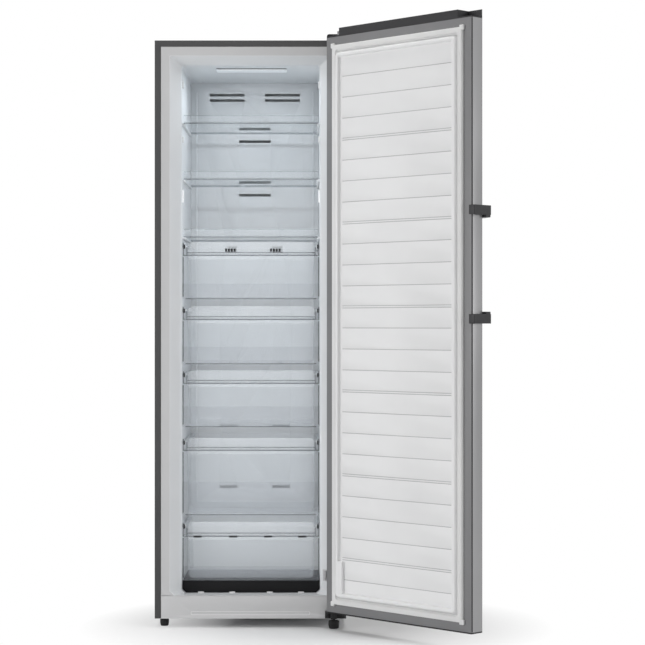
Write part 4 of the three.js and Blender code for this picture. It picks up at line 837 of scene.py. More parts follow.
@dataclass
class CabinetBody:
    """The dark shell, its liner, the front strip, the deck and the back."""

    dresser: NodeDresser
    flange_half: float = 277.7
    mouth_half: float = 250.5
    cavity_half: float = 216.3
    back_half: float = 213.5
    flange_top: float = 1804.2
    mouth_top: float = 1776.0
    cavity_top: float = 1751.0
    floor: float = 100.0
    bevel_depth: float = 40.0
    cavity_back: float = 545.0
    step_front: float = 335.0
    step_top: float = 326.0
    step_slope: float = 45.0
    wall: float = 2.0
    tab_places: tuple[float, ...] = (-156.8, -58.9, 58.9, 156.8)
    tab_width: float = 18.0
    tab_depth: float = 9.0
    tab_height: float = 4.0
    field_half: float = 185.0
    field_bottom: float = 39.0
    field_top: float = 51.0
    rim_width: float = 1.6
    rim_height: float = 0.7
    rim_sink: float = 1.0

    def build(self) -> None:
        """Makes and dresses every piece of the cabinet body."""
        self.liner()
        self.dresser.dress("cabinet_shell", DARK_SHEET, 0.5)
        self.dresser.dress("insulation", FOAM, 0)
        self.dresser.dress("back_panel", ZINC, 0.4)
        self.dresser.dress("front_apron", APRON, 0.4)
        self.dresser.dress("deck_panel", DECK_BLACK_AND_SHADE, 0.9, 3)
        self.deck_tabs()
        self.field_rim()

    def deck_tabs(self) -> None:
        """Makes the pale tabs that hold the deck's front edge down."""
        deck, _ = node_box("deck_panel")
        form = Form()
        for x in self.tab_places:
            form.box((x - self.tab_width / 2, deck.y - self.tab_depth, self.floor - 1),
                     (x + self.tab_width / 2, deck.y - 0.05, self.floor + self.tab_height), 1.0, 3)
        form.done(Piece("deck_tabs", "cabinet", "liner_white", DOOR_LINER, sharp=40))

    def field_rim(self) -> None:
        """Makes the fine raised line round the front strip's long pressed field, in a paler white than the strip: a
        painted highlight along the pressed line.
        """
        half, low, high = self.field_half, self.field_bottom, self.field_top
        corner = (high - low) / 3
        outer = rounded_rectangle(-half, half, low, high, corner)
        inset = self.rim_width
        inner = rounded_rectangle(-half + inset, half - inset, low + inset, high - inset, corner - inset)
        form = Form().frame(outer, inner, (self.rim_sink, -self.rim_height))
        # painted highlight: the rim takes the door liner's pale white, not the strip's grey
        form.done(Piece("front_strip_rim_highlight", "cabinet", "flange_grey", DOOR_LINER, sharp=40))

    def half_at(self, y: float) -> float:
        """Half width of the hollow at a depth."""
        if y <= self.bevel_depth:
            share = max(y, 0) / self.bevel_depth
            return self.mouth_half + (self.cavity_half - self.mouth_half) * share
        share = (y - self.bevel_depth) / (self.cavity_back - self.bevel_depth)
        return self.cavity_half + (self.back_half - self.cavity_half) * share

    def ring(self, half: float, y: float, bottom: float) -> Ring:
        """One outline of the liner.

        Args:
            half: half width.
            y: depth.
            bottom: height of the floor there.

        Returns:
            The ring of points.
        """
        if half > self.mouth_half:
            share = (half - self.mouth_half) / (self.flange_half - self.mouth_half)
            top = self.mouth_top + (self.flange_top - self.mouth_top) * share
            bottom -= self.wall * share
            radius, chamfer = 3 - 2.5 * share, 14 - 12 * share
        else:
            share = min((self.mouth_half - half) / (self.mouth_half - self.cavity_half), 1)
            top = self.mouth_top + (self.cavity_top - self.mouth_top) * share
            radius, chamfer = 3 + 4 * share, 14 - 3 * share
        corners = [
            (-half + chamfer, bottom), (half - chamfer, bottom), (half, bottom + chamfer),
            (half, top), (-half, top), (-half, bottom + chamfer),
        ]
        small = chamfer * 0.3
        return at_depth(rounded(corners, [small, small, small, radius, radius, small], 4), y)

    def liner(self) -> None:
        """Makes the moulded liner: flange, sloping band, walls and step."""
        face = 0.2
        across = rounded(
            [(self.flange_half, face), (self.mouth_half, face), (self.cavity_half, self.bevel_depth),
             (self.back_half, self.cavity_back), (self.back_half - 40, self.cavity_back)],
            [0, 2.5, 7, 9, 0], 5, closed=False,
        )
        along = rounded(
            [(0, self.floor), (self.step_front, self.floor),
             (self.step_front + 0.4, self.step_top - self.step_slope),
             (self.step_front + self.step_slope, self.step_top), (self.cavity_back, self.step_top)],
            [0, 6, 10, 10, 0], 5, closed=False,
        )
        depths = [y for _, y in across] + [y for y, _ in along if y > self.bevel_depth * 1.5]
        form = Form()
        rings = []
        for y in sorted(set(round(d, 3) for d in depths)):
            rings.extend(self.rings_at(y, across, along))
        flange, rings = rings[:2], rings[1:]
        form.rings(rings)
        self.open_front(form, len(rings[0]))
        form.done(Piece(
            "liner_moulding", "cabinet", "liner_white", LINER, replaces=("inner_liner",),
            sharp=30, thickness=self.wall, outward=True,
        ))
        rear = [[(x, y + self.wall * 0.8, z) for x, y, z in ring] for ring in flange]
        rim = Form().rings([flange[0], rear[0], rear[1], flange[1]], cap=False, join=True)
        rim.done(Piece("liner_flange", "cabinet", "flange_grey", FLANGE, sharp=30))

    def rings_at(self, y: float, across: Sequence[Point2], along: Sequence[Point2]) -> list[Ring]:
        """The rings at one depth.

        Args:
            y: the depth.
            across: half width and depth along the liner's side.
            along: depth and floor height along its middle.

        Returns:
            One ring, or several where the liner is flat at that depth.
        """
        bottom = self.floor
        for (y0, z0), (y1, z1) in zip(along, along[1:]):
            if y0 <= y <= y1 and y1 > y0:
                bottom = z0 + (z1 - z0) * (y - y0) / (y1 - y0)
        halves = [h for h, d in across if abs(round(d, 3) - y) < 1e-6]
        if not halves:
            halves = [self.half_at(y)]
        return [self.ring(h, y, bottom) for h in halves]

    @staticmethod
    def open_front(form: Form, count: int) -> None:
        """Takes away the cap over the mouth.

        Args:
            form: the liner's form.
            count: points in one ring.
        """
        form.bm.faces.ensure_lookup_table()
        caps = [f for f in form.bm.faces if len(f.verts) == count]
        nearest = min(caps, key=lambda f: f.calc_center_median().y)
        bmesh.ops.delete(form.bm, geom=[nearest], context="FACES_ONLY")


@dataclass
class SideLedges:
    """Ledges on the cavity's side walls that carry the shelves and the drawers, and the studs over the shelves."""

    body: CabinetBody
    front: float = 66.0
    height: float = 7.0
    overlap: float = 1.5
    gap: float = 0.3
    rim_drop: float = 3.3
    shelf_reach: float = 9.0
    drawer_reach: float = 11.0
    stud_rises: tuple[Point2, ...] = ((112.0, 135.0), (117.0, 136.0), (110.0, 150.0))
    stud_front: float = 70.0
    stud_depth: float = 12.0
    stud_reach: float = 5.0

    def build(self) -> None:
        """Makes a pair of ledges under each shelf and each drawer, and the studs."""
        self.studs()
        for number in range(1, SHELVES + 1):
            low, high = node_box(f"shelf_glass_{number}")
            self.pair(f"shelf_ledge_{number}", low.z - self.gap, high.y, self.shelf_reach)
        for number in range(1, DRAWERS + 1):
            _, high = node_box(f"drawer_tub_{number}")
            self.pair(f"drawer_ledge_{number}", high.z - self.rim_drop, high.y, self.drawer_reach)

    def pair(self, name: str, top: float, back: float, reach: float) -> None:
        """Makes the left and the right ledge at one height.

        Args:
            name: name of the piece.
            top: height of the ledge's upper face.
            back: depth of its rear end.
            reach: how far it stands out from the wall.
        """
        form = Form()
        for near, far in self.spans(reach):
            form.box((near, self.front, top - self.height), (far, back, top), 2.6, 3)
        form.done(Piece(name, "cabinet", "liner_white", LINER, sharp=40))

    def spans(self, reach: float) -> list[list[float]]:
        """From wall to inner end, left and right, of what stands out from the walls by a reach."""
        wall, inner = self.body.cavity_half + self.overlap, self.body.cavity_half - reach
        return [sorted((side.value * wall, side.value * inner)) for side in Side]

    def studs(self) -> None:
        """Makes the small upright studs that stand on the walls over each shelf."""
        form = Form()
        for number, (start, end) in enumerate(self.stud_rises, 1):
            lip, _ = node_box(f"shelf_trim_{number}")
            for near, far in self.spans(self.stud_reach):
                form.box((near, self.stud_front, lip.z + start),
                         (far, self.stud_front + self.stud_depth, lip.z + end), 2.2, 4)
        form.done(Piece("side_studs", "cabinet", "liner_white", DOOR_LINER, sharp=40))


@dataclass
class ColdAir:
    """The back cover with its slots, the fan, the coil and the ceiling lamp."""

    dresser: NodeDresser
    bead_place: float = 196.0
    bead_half: float = 4.0
    bead_rise: float = 2.2
    bead_sink: float = 0.6
    bead_margin: float = 30.0

    def build(self) -> None:
        """Dresses the cold-air parts and adds the cover's beads and the lamp's joint."""
        dress = self.dresser.dress
        dress("evaporator_cover", LINER, 0.5)
        dress("evaporator_coil", COIL, 0.4)
        dress("fan_impeller", BLACK_PLASTIC, 0.5)
        dress("fan_motor", ENAMEL, 0.6)
        dress("lamp_cover", LAMP, 0.8)
        dress("lamp_board", LAMP_PLATE, 0.3)
        self.cover_ribs()
        self.lamp_seam()

    def lamp_seam(self) -> None:
        """Makes the thin dark joint between the lamp's cover and the ceiling."""
        low, high = node_box("lamp_cover")
        form = Form().box((low.x - 0.4, low.y - 0.7, high.z - 1.8), (high.x + 0.4, low.y + 0.5, high.z - 0.2), 0.4)
        form.done(Piece("lamp_seam", "cabinet", "dark_rubber", RUBBER, sharp=40))

    def cover_ribs(self) -> None:
        """Makes the two upright beads that stiffen the back cover."""
        low, high = node_box("evaporator_cover")
        form = Form()
        for side in Side:
            x = side.value * self.bead_place
            form.box((x - self.bead_half, low.y - self.bead_rise, low.z + self.bead_margin),
                     (x + self.bead_half, low.y + self.bead_sink, high.z - self.bead_margin), 2.0, 3)
        form.done(Piece("back_cover_beads", "cabinet", "liner_white", LINER, sharp=40))


# ---------------------------------------------------------------- shelves and drawers

@dataclass
class Shelf:
    """A glass shelf with a clear lip along its front edge."""

    dresser: NodeDresser
    number: int
    line: float = 2.8
    rail: float = 1.0

    def build(self) -> None:
        """Dresses the glass and the lip, and adds the front lines and the rear rail."""
        glass = f"shelf_glass_{self.number}"
        trim = f"shelf_trim_{self.number}"
        self.dresser.dress(glass, GLASS, 0.7)
        self.dresser.dress(trim, TRIM, 0.5)
        self.front_lines(trim)
        self.rear_rail(glass)

    def front_lines(self, trim: str) -> None:
        """Makes the dark line under the lip and the fine pale bead along its top.

        Args:
            trim: the lip's node.
        """
        low, high = node_box(trim)
        dark = Form().box((low.x + 1, low.y - 0.5, low.z - 0.2), (high.x - 1, low.y + 1.6, low.z + self.line), 0.7, 3)
        self.add("front_line", dark, SMOKED_AND_SHADE)
        pale = Form().box((low.x + 1, low.y - 0.4, high.z - 1.3), (high.x - 1, low.y + 1.8, high.z + 0.3), 0.6, 3)
        self.add("top_bead", pale, RAIL)

    def add(self, name: str, form: Form, finish: Surface) -> None:
        """Puts one of the shelf's pieces in the scene."""
        form.done(Piece(f"shelf_{name}_{self.number}", f"shelf_{self.number}", "shelf_trim", finish))

    def rear_rail(self, glass: str) -> None:
        """Makes the slim rail that grips the glass's rear edge.

        Args:
            glass: the glass's node.
        """
        low, high = node_box(glass)
        back, lip, gap = high.y + 2.4, high.y - 5, 0.2
        under, over = low.z - self.rail, high.z + self.rail
        outline = rounded(
            [(lip, under), (back, under), (back, over), (lip, over), (lip, high.z + gap),
             (high.y + 0.4, high.z + gap), (high.y + 0.4, low.z - gap), (lip, low.z - gap)],
            [0.3, 1.2, 1.2, 0.3, 0.1, 0.1, 0.1, 0.1], 3,
        )
        self.add("rear_rail", Form().prism(outline, "X", low.x + 1, high.x - 1), RAIL)


@dataclass
class Drawer:
    """A clear drawer: a drafted tub with a turned rim and a front with a finger ledge."""

    number: int
    panel: float = 3.0
    wall: float = 2.5
    front_y: float = 50.0
    return_depth: float = 9.0
    grip_depth: float = 14.0
    band_inset: float = 16.0
    corner: float = 6.0
    rim_width: float = 10.0
    rim_thickness: float = 3.0
    rim_edge: float = 0.6
    rim_corner: float = 3.0
    tub_corner: float = 16.0
    end_share: float = 0.6
    cap_inset: float = 20.0
    draft: float = 5.0
    guide_inset: float = 4.2
    guide_drop: float = 14.0
    frost_shares: tuple[float, ...] = (0.36, 0.4, 0.48, 0.52, 0.33)

    def __post_init__(self) -> None:
        """Reads the drawer's heights from its nodes."""
        self.tub_low, self.tub_high = node_box(f"drawer_tub_{self.number}")
        self.low, self.high = node_box(f"drawer_front_{self.number}")
        self.body = f"drawer_{self.number}"
        self.grip = self.high.z - GRIP_DROPS[self.number - 1]

    def plastic(self) -> Clear:
        """The front's clear plastic with its frosted lower band."""
        frost = self.low.z + (self.grip - self.low.z) * self.frost_shares[self.number - 1]
        return Clear(f"drawer_plastic_{self.number}", (0.8, 0.84, 0.87), (0.34, 0.36, 0.38), 0.05, 0.5, 0.07,
                     frost * MM, 0.12)

    def add(self, name: str, form: Form, finish: Surface, replaces: str = "", sharp: float = 40.0) -> None:
        """Puts one of the drawer's pieces in the scene.

        Args:
            name: what the piece is, such as band.
            form: its form.
            finish: its finish.
            replaces: the kind of node that it stands for, such as tub, or nothing.
            sharp: the least angle of a sharp edge, in degrees.
        """
        replaced = (f"drawer_{replaces}_{self.number}",) if replaces else ()
        form.done(Piece(
            f"drawer_{name}_{self.number}", self.body, "drawer_clear", finish, replaces=replaced, sharp=sharp,
        ))

    def build(self) -> None:
        """Makes the tub, the front with its band, the dark edging, the guides and the slots."""
        self.tub()
        self.face()
        self.rail()
        self.guides()
        self.slots()

    def slots(self) -> None:
        """Makes the two vents in the first drawer's band, or the slots in the last one's finger ledge."""
        row = SLOT_ROWS.get(self.number)
        if not row:
            return
        form = Form()
        for x in row.places:
            form.box((x - row.half, self.front_y + row.depths[0], self.grip + row.rises[0]),
                     (x + row.half, self.front_y + row.depths[1], self.grip + row.rises[1]), row.radius)
        self.add("slots", form, BLACK_PLASTIC)

    def tub(self) -> None:
        """Makes the tub as one closed wall with a rim that runs on the ledges."""
        rim_half = self.tub_high.x
        top_half = rim_half - self.rim_width
        y0, y1 = self.tub_low.y, self.tub_high.y
        floor, top = self.tub_low.z, self.tub_high.z
        wall, drop = self.wall, self.tub_high.z - self.tub_low.z

        def level(inset: float, z: float, spare: float = 0.0) -> Ring:
            """One ring of the tub at an inset from its upper wall."""
            half = top_half - inset + spare
            edge = min(inset, self.draft + wall + 14) * self.end_share
            corner = self.tub_corner if spare == 0 else self.rim_corner
            return [(x, y, z) for x, y in rounded_rectangle(-half, half, y0 + edge, y1 - edge, corner)]

        def slope(z: float) -> float:
            """How far the wall has moved in at a height."""
            return self.draft * (top - z) / drop

        low_round = 12.0
        outside = [
            (slope(floor) + low_round, floor), (slope(floor) + low_round * 0.5, floor + 1.2),
            (slope(floor) + low_round * 0.14, floor + 4.5), (slope(floor + 12), floor + low_round),
            (slope(top - self.rim_thickness), top - self.rim_thickness),
        ]
        inside = [
            (wall, top), (slope(floor + 14) + wall, floor + 14),
            (slope(floor) + wall + 2, floor + 6.5), (slope(floor) + wall + 6, floor + 3.6),
            (slope(floor) + wall + low_round, floor + wall),
        ]
        edge, under = self.rim_edge, top - self.rim_thickness
        rim = [(under, -edge), (under + edge, 0), (top - edge, 0), (top, -edge)]
        rings = [level(inset, z) for inset, z in outside]
        rings += [level(0, z, self.rim_width + spare) for z, spare in rim]
        rings += [level(inset, z) for inset, z in inside]
        self.add("basket", Form().rings(rings), TUB, "tub", 45)

    def face(self) -> None:
        """Makes the front panel with its turned edges, the finger ledge and the set-back band."""
        half = self.high.x
        back = self.front_y + self.return_depth
        form = Form()
        profile = [(0.0, back), (0.0, self.front_y + 1.6), (0.5, self.front_y + 0.5), (1.6, self.front_y)]
        inner = [(self.panel + 2.0, self.front_y + self.panel), (self.panel, self.front_y + self.panel + 2.0),
                 (self.panel, back)]
        rings = [self.panel_ring(half, inset, y) for inset, y in profile + [(self.cap_inset, self.front_y)]]
        front_cap = len(rings)
        form.rings(rings, cap=False)
        form.bm.faces.new(self.last_ring(form, front_cap))
        behind = [(self.cap_inset, self.front_y + self.panel), *inner, (0.0, back)]
        rings = [self.panel_ring(half, inset, y) for inset, y in behind]
        form.rings(rings, cap=False)
        count = len(rings[0])
        form.bm.verts.ensure_lookup_table()
        start = front_cap * count
        form.bm.faces.new([form.bm.verts[start + i] for i in range(count)])
        bmesh.ops.remove_doubles(form.bm, verts=form.bm.verts, dist=0.001)
        band_half = half - self.band_inset
        band_y = self.front_y + self.grip_depth
        form.box((-band_half, self.front_y + self.panel + 0.2, self.grip - self.panel),
                 (band_half, band_y + 0.6, self.grip), 0.8)
        self.add("panel", form, self.plastic(), "front")
        self.band(band_half, band_y)

    def band(self, half: float, y: float) -> None:
        """Makes the milky band set back over the finger ledge, with its turned top edge.

        Args:
            half: half width of the band.
            y: depth of its front face.
        """
        corners = [(-half, self.grip - 14), (half, self.grip - 14), (half, self.high.z), (-half, self.high.z)]
        form = Form().prism(rounded(corners, [2, 2, 12, 12], 6), "Y", y, y + self.panel)
        form.box((-half + 12, y - 3, self.high.z - self.panel), (half - 12, y + 0.4, self.high.z), 0.9)
        self.add("band", form, BAND)

    def panel_ring(self, half: float, inset: float, y: float) -> Ring:
        """One outline of the front panel.

        Args:
            half: half width of the panel.
            inset: distance in from its edge.
            y: depth.

        Returns:
            The ring of points.
        """
        radius = max(self.corner - inset * 0.6, 1.5)
        line = rounded_rectangle(-half + inset, half - inset, self.low.z + inset, self.grip - inset, radius, 5)
        return at_depth(line, y)

    @staticmethod
    def last_ring(form: Form, rings: int) -> list[bmesh.types.BMVert]:
        """The vertices of the ring that was added last.

        Args:
            form: the form.
            rings: how many rings it has.

        Returns:
            The ring's vertices in order.
        """
        form.bm.verts.ensure_lookup_table()
        count = len(form.bm.verts) // rings
        return [form.bm.verts[(rings - 1) * count + i] for i in range(count)]

    def rail(self) -> None:
        """Makes the dark lines of the finger ledge and of the panel's edges, with a hook at each end; the lines along
        the panel's bottom and down its sides are painted shade of the gaps round the drawer.
        """
        half, front = self.high.x - 0.6, self.front_y
        form = Form()
        form.box((-half + 12, front - 0.9, self.grip - 3.6), (half - 12, front + 1.0, self.grip + 0.3), 0.8, 3)
        form.box((-half + 14, front + 12, self.grip + 6), (half - 14, front + 14.4, self.grip + 8), 0.6)
        # painted shade: a dark strip along the panel's bottom, where the gap under the drawer lies in shadow
        form.box((-half + 9, front - 0.5, self.low.z + 0.6), (half - 9, front + 1.5, self.low.z + 3.4), 0.6)
        for side in Side:
            self.hook(form, side.value * half, side.value)
        self.add("rail", form, SMOKED_AND_SHADE)

    def hook(self, form: Form, edge: float, way: int) -> None:
        """Adds one end of the dark edging: two uprights with a foot, and the strip down the panel's edge, which is
        painted shade of the gap beside the drawer.

        Args:
            form: the edging's form.
            edge: the panel's outer edge on that side.
            way: -1 on the left and 1 on the right.
        """
        front, grip = self.front_y, self.grip
        bars = (
            (0.0, 2.8, 8.2, 13.0, grip - 2.0, self.high.z - 2.0),
            (11.4, 13.6, 12.0, 14.4, grip - 1.5, grip + 24.0),
            (0.0, 13.6, 2.0, 12.6, grip - 3.2, grip - 0.6),
            # the strip down the panel's edge: painted shade of the gap beside the drawer
            (0.0, 3.2, -0.5, 5.0, self.low.z + 8.0, grip - 7.0),
        )
        for near, far, y0, y1, z0, z1 in bars:
            x0, x1 = sorted((edge - way * near, edge - way * far))
            form.box((x0, front + y0, z0), (x1, front + y1, z1), 0.8)

    def guides(self) -> None:
        """Makes the dark oval guide at each end of the band."""
        form = Form()
        for side in Side:
            x = side.value * (self.high.x - self.guide_inset)
            z = self.high.z - self.guide_drop
            outline = rounded_rectangle(x - 3.4, x + 3.4, z - 7, z + 7, 3.3)
            form.prism(outline, "Y", self.front_y + 9, self.front_y + 12.5)
        self.add("guides", form, BLACK_PLASTIC)


# ---------------------------------------------------------------- underside and machine room

@dataclass
class MachineRoom:
    """The base pan, the compressor, the tray, the covers, feet and rollers."""

    dresser: NodeDresser
    stem: float = 4.0
    thread_pitch: float = 1.6
    thread_depth: float = 0.6

    def build(self) -> None:
        """Dresses the nodes and adds the feet and the screws."""
        dress = self.dresser.dress
        dress("base_pan", ZINC, 0.3)
        dress("compressor", ENAMEL, 1.2, 3)
        dress("drip_tray", BLACK_PLASTIC, 0.5)
        dress("control_box", BLACK_PLASTIC, 1.0)
        dress("machine_cover", ZINC, 0.3)
        dress("power_inlet", RUBBER, 0.6)
        for node in ("left_roller", "right_roller"):
            dress(node, BLACK_PLASTIC, 0.9)
        for node in ("left_roller_axle", "right_roller_axle"):
            dress(node, ZINC, 0.4)
        self.foot("left_foot", "front_foot_left")
        self.foot("right_foot", "front_foot_right")
        self.screws()

    def foot(self, node: str, body: str) -> None:
        """Makes a ribbed levelling foot with its threaded stem.

        Args:
            node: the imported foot.
            body: the body it turns with.
        """
        low, high = node_box(node)
        radius, height = (high.x - low.x) / 2, FOOT_HEIGHTS[node]
        stem, top, pitch, root = self.stem, high.z, self.thread_pitch, self.stem - self.thread_depth
        profile = [
            (0.01, 0), (radius * 0.74, 0), (radius * 0.8, 0.5), (radius * 0.9, 2.6), (radius * 0.97, height * 0.4),
            (radius, height * 0.58), (radius, height - 2.6), (radius - 0.7, height - 0.8), (radius - 2.2, height),
            (stem + 2.2, height), (stem + 1.6, height + 0.8), (stem, height + 1.0),
        ]
        thread = height + pitch
        while thread + pitch < top:
            profile.extend([(stem, thread), (root, thread + 0.4), (root, thread + 0.8), (stem, thread + 1.2)])
            thread += pitch
        profile.extend([(stem, top - 0.6), (stem - 0.6, top), (0.01, top)])
        form = Form().turned(((low.x + high.x) / 2, (low.y + high.y) / 2, 0), profile, "Z", 48)
        form.done(Piece(body + "_sole", body, "dark_rubber", RUBBER, replaces=(node,), sharp=50))

    def screws(self) -> None:
        """Makes the screws that hold the machine-room cover and the back sheet."""
        low, high = node_box("machine_cover")
        form = Form()
        places = [(x, z) for x in (low.x + 12, 0.0, high.x - 12) for z in (low.z + 10, high.z - 9)]
        for x, z in places:
            form.turned((x, high.y - 0.2, z), [(0.01, 0), (4.2, 0), (4.2, 0.9), (3.2, 1.9), (1.6, 2.2), (0.01, 2.2)],
                        "Y", 20)
        form.done(Piece("cover_screws", "cabinet", "zinc_steel", ZINC, sharp=40))


# ---------------------------------------------------------------- hinges and switch

@dataclass
class Hinges:
    """Both hinges, the cover over the upper one and the door switch."""

    dresser: NodeDresser

    def build(self) -> None:
        """Dresses the hinge and switch nodes."""
        dress = self.dresser.dress
        dress("upper_hinge", HINGE_PAINT, 0.5)
        dress("upper_hinge_cover", BLACK_PLASTIC, 1.6, 3)
        dress("lower_hinge", HINGE_PAINT, 0.7)
        dress("switch_housing", SWITCH, 0.5)
        dress("switch_plunger", SWITCH, 0.8, 3)


# ---------------------------------------------------------------- door

@dataclass
class Door:
    """The door: skin, inner frame, moulded liner, gasket, caps and bushes, sized when closed."""

    dresser: NodeDresser
    half: float = 297.5
    bottom: float = 57.5
    top: float = 1824.0
    face: float = -10.0
    outer: float = -58.8
    ridge_foot: float = 47.0
    ridge_draft: float = 7.0
    ridge_width: float = 9.0
    ridge_height: float = 16.0
    inner_slope: float = 2.0
    panel_height: float = 5.0
    ridge_corner: float = 16.0
    pad_inset: float = 57.5
    pad_width: float = 24.5
    pad_top: float = 219.0
    groove_count: int = 25
    groove_top: float = 1699.0
    groove_bottom: float = 163.0
    groove_half: float = 1.6
    groove_depth: float = 1.6
    groove_shade_half: float = 1.0
    twin_spacing: float = 6.4
    wall: float = 2.0
    gasket_inset: float = 25.5
    gasket_width: float = 20.8
    gasket_height: float = 9.4
    gasket_shift: float = 4.5
    nub_half: float = 7.5
    nub_inset: float = 2.6
    panel_margin: float = 2.0
    groove_shoulder: float = 0.45
    fade_start: float = 1.5
    fade_length: float = 3.0
    strip_proud: float = 0.05

    def build(self) -> None:
        """Makes and dresses every piece of the door."""
        dress = self.dresser.dress
        dress("door_skin", STAINLESS, 0.4, 2)
        dress("door_frame", FRAME_GREY, 0.8, 3)
        dress("door_foam", FOAM, 0)
        dress("door_top_cap", CAP_PLASTIC, 0.9, 3)
        dress("door_bottom_cap", BLACK_PLASTIC, 0.8)
        dress("upper_hinge_bush", BUSH, 0.6)
        dress("lower_hinge_bush", BUSH, 0.6)
        self.liner()
        self.gasket()
        self.seam()
        self.cap_end()

    def cap_end(self) -> None:
        """Makes the dark plate behind the raised skin at the free end of the top cap."""
        cap_top, low_part = node_top("door_top_cap"), self.top + 3.4
        low = (-self.half + 1.6, self.outer + 1.6, low_part)
        high = (-self.half + 53.2, self.outer + 3.6, cap_top - 0.5)
        form = Form().box(low, high, 0.6)
        form.box((low[0], low[1], low_part), (low[0] + 2.2, low[1] + 14, low_part + 5), 0.6)
        form.done(Piece("door_cap_end", "door", "dark_rubber", CAP_PLASTIC, Datum.DOOR, sharp=40))

    def ring(self, inset: float, height: float, corner: float, shift: float = 0.0) -> Ring:
        """A rounded rectangle at an inset from the door's edge.

        Args:
            inset: distance in from the edge.
            height: height above the frame's face.
            corner: radius of the corners.
            shift: extra distance in from the two upright edges.

        Returns:
            The ring of points.
        """
        across = self.half - inset - shift
        line = rounded_rectangle(-across, across, self.bottom + inset, self.top - inset, corner, 7)
        return at_depth(line, self.face + height)

    def groove_heights(self) -> list[float]:
        """Heights of the grooves across the panel: every fourth one is a close pair."""
        pitch = (self.groove_top - self.groove_bottom) / (self.groove_count - 1)
        heights = []
        for i in range(self.groove_count):
            z = self.groove_top - i * pitch
            shift = self.twin_spacing / 2
            heights.extend((z + shift, z - shift) if i % 4 == 3 else (z,))
        return heights

    def liner(self) -> None:
        """Makes the moulded liner: its foot, the round ridge and the grooved panel."""
        crest = self.ridge_foot + self.ridge_draft
        inner = crest + self.ridge_width
        line = rounded(
            [(self.ridge_foot - 2.2, -2.3), (self.ridge_foot - 2.2, -0.4), (self.ridge_foot, -0.4),
             (crest, self.ridge_height), (inner, self.ridge_height),
             (inner + self.inner_slope, self.panel_height), (inner + self.inner_slope + 3.5, self.panel_height)],
            [0, 0.4, 1.2, 2.8, 2.8, 2.2, 0], 4, closed=False,
        )
        rings = [
            self.ring(inset, height, max(self.ridge_corner - (inset - self.ridge_foot), 4.0)) for inset, height in line
        ]
        form = Form().rings(rings, cap=False)
        self.panel(form, line[-1][0], len(rings[-1]))
        form.done(Piece(
            "door_liner_moulding", "door", "liner_white", DOOR_LINER, Datum.DOOR,
            ("door_liner",), 34, self.wall,
        ))
        self.groove_shade_lines(line[-1][0] + self.panel_margin + 3)
        self.pad()

    def groove_shade_lines(self, inset: float) -> None:
        """Makes the painted shade along the bottom of each groove: a fine darker line that stands in for the groove's
        shadow.

        Args:
            inset: distance from the door's edge to the end of a line.
        """
        form = Form()
        flat = self.face + self.panel_height
        for z in self.groove_heights():
            form.box((-self.half + inset, flat - self.groove_depth - 0.2, z - self.groove_shade_half),
                     (self.half - inset, flat - 0.3, z + self.groove_shade_half), 0.2, 1)
        form.done(Piece(
            "door_liner_groove_shade", "door", "liner_white", GROOVE_SHADE, Datum.DOOR, sharp=50,
        ))

    def panel(self, form: Form, inset: float, count: int) -> None:
        """Fills the liner's middle with a panel of soft grooves.

        Args:
            form: the liner's form, whose last ring bounds the panel.
            inset: that ring's inset.
            count: points in that ring.
        """
        form.bm.verts.ensure_lookup_table()
        border = list(form.bm.verts)[-count:]
        margin = self.panel_margin
        x0, x1 = -self.half + inset + margin, self.half - inset - margin
        start, full = self.fade_start, self.fade_start + self.fade_length
        columns = [x0, x0 + start, x0 + full, 0, x1 - full, x1 - start, x1]
        heights = sorted(self.groove_heights())
        rows = [self.bottom + inset + margin]
        shoulder = self.groove_half * self.groove_shoulder
        for z in heights:
            rows.extend(z + step for step in (-self.groove_half, -shoulder, 0, shoulder, self.groove_half))
        rows.append(self.top - inset - margin)
        grid = []
        for z in rows:
            near = min(abs(z - h) for h in heights)
            share = max(0.0, 1 - near / self.groove_half)
            dip = self.groove_depth * share * share * (3 - 2 * share)
            line = []
            for x in columns:
                end = min(x - x0, x1 - x)
                fade = min(max(end - start, 0) / self.fade_length, 1)
                y = self.face + self.panel_height - dip * fade
                line.append(form.bm.verts.new((x, y, z)))
            grid.append(line)
        for low, high in zip(grid, grid[1:]):
            for i in range(len(columns) - 1):
                form.bm.faces.new((low[i], low[i + 1], high[i + 1], high[i]))
        edge = grid[0] + [line[-1] for line in grid[1:]]
        edge += grid[-1][-2::-1] + [line[0] for line in reversed(grid[1:-1])]
        loops = []
        for loop in (border, edge):
            for a, b in zip(loop, loop[1:] + loop[:1]):
                loops.append(form.bm.edges.get((a, b)) or form.bm.edges.new((a, b)))
        bmesh.ops.triangle_fill(form.bm, edges=loops, use_beauty=True, use_dissolve=False)

    def pad(self) -> None:
        """Makes the raised pad beside the ridge that meets the door switch."""
        x1 = self.half - self.pad_inset
        x0 = x1 - self.pad_width
        low = (x0, self.face + self.panel_height - 1, self.bottom + self.ridge_foot + 14)
        high = (x1, self.face + self.ridge_height - 0.05, self.pad_top)
        form = Form().box(low, high, 3.0, 4)
        form.done(Piece(
            "door_switch_pad", "door", "liner_white", DOOR_LINER, Datum.DOOR, sharp=50,
        ))

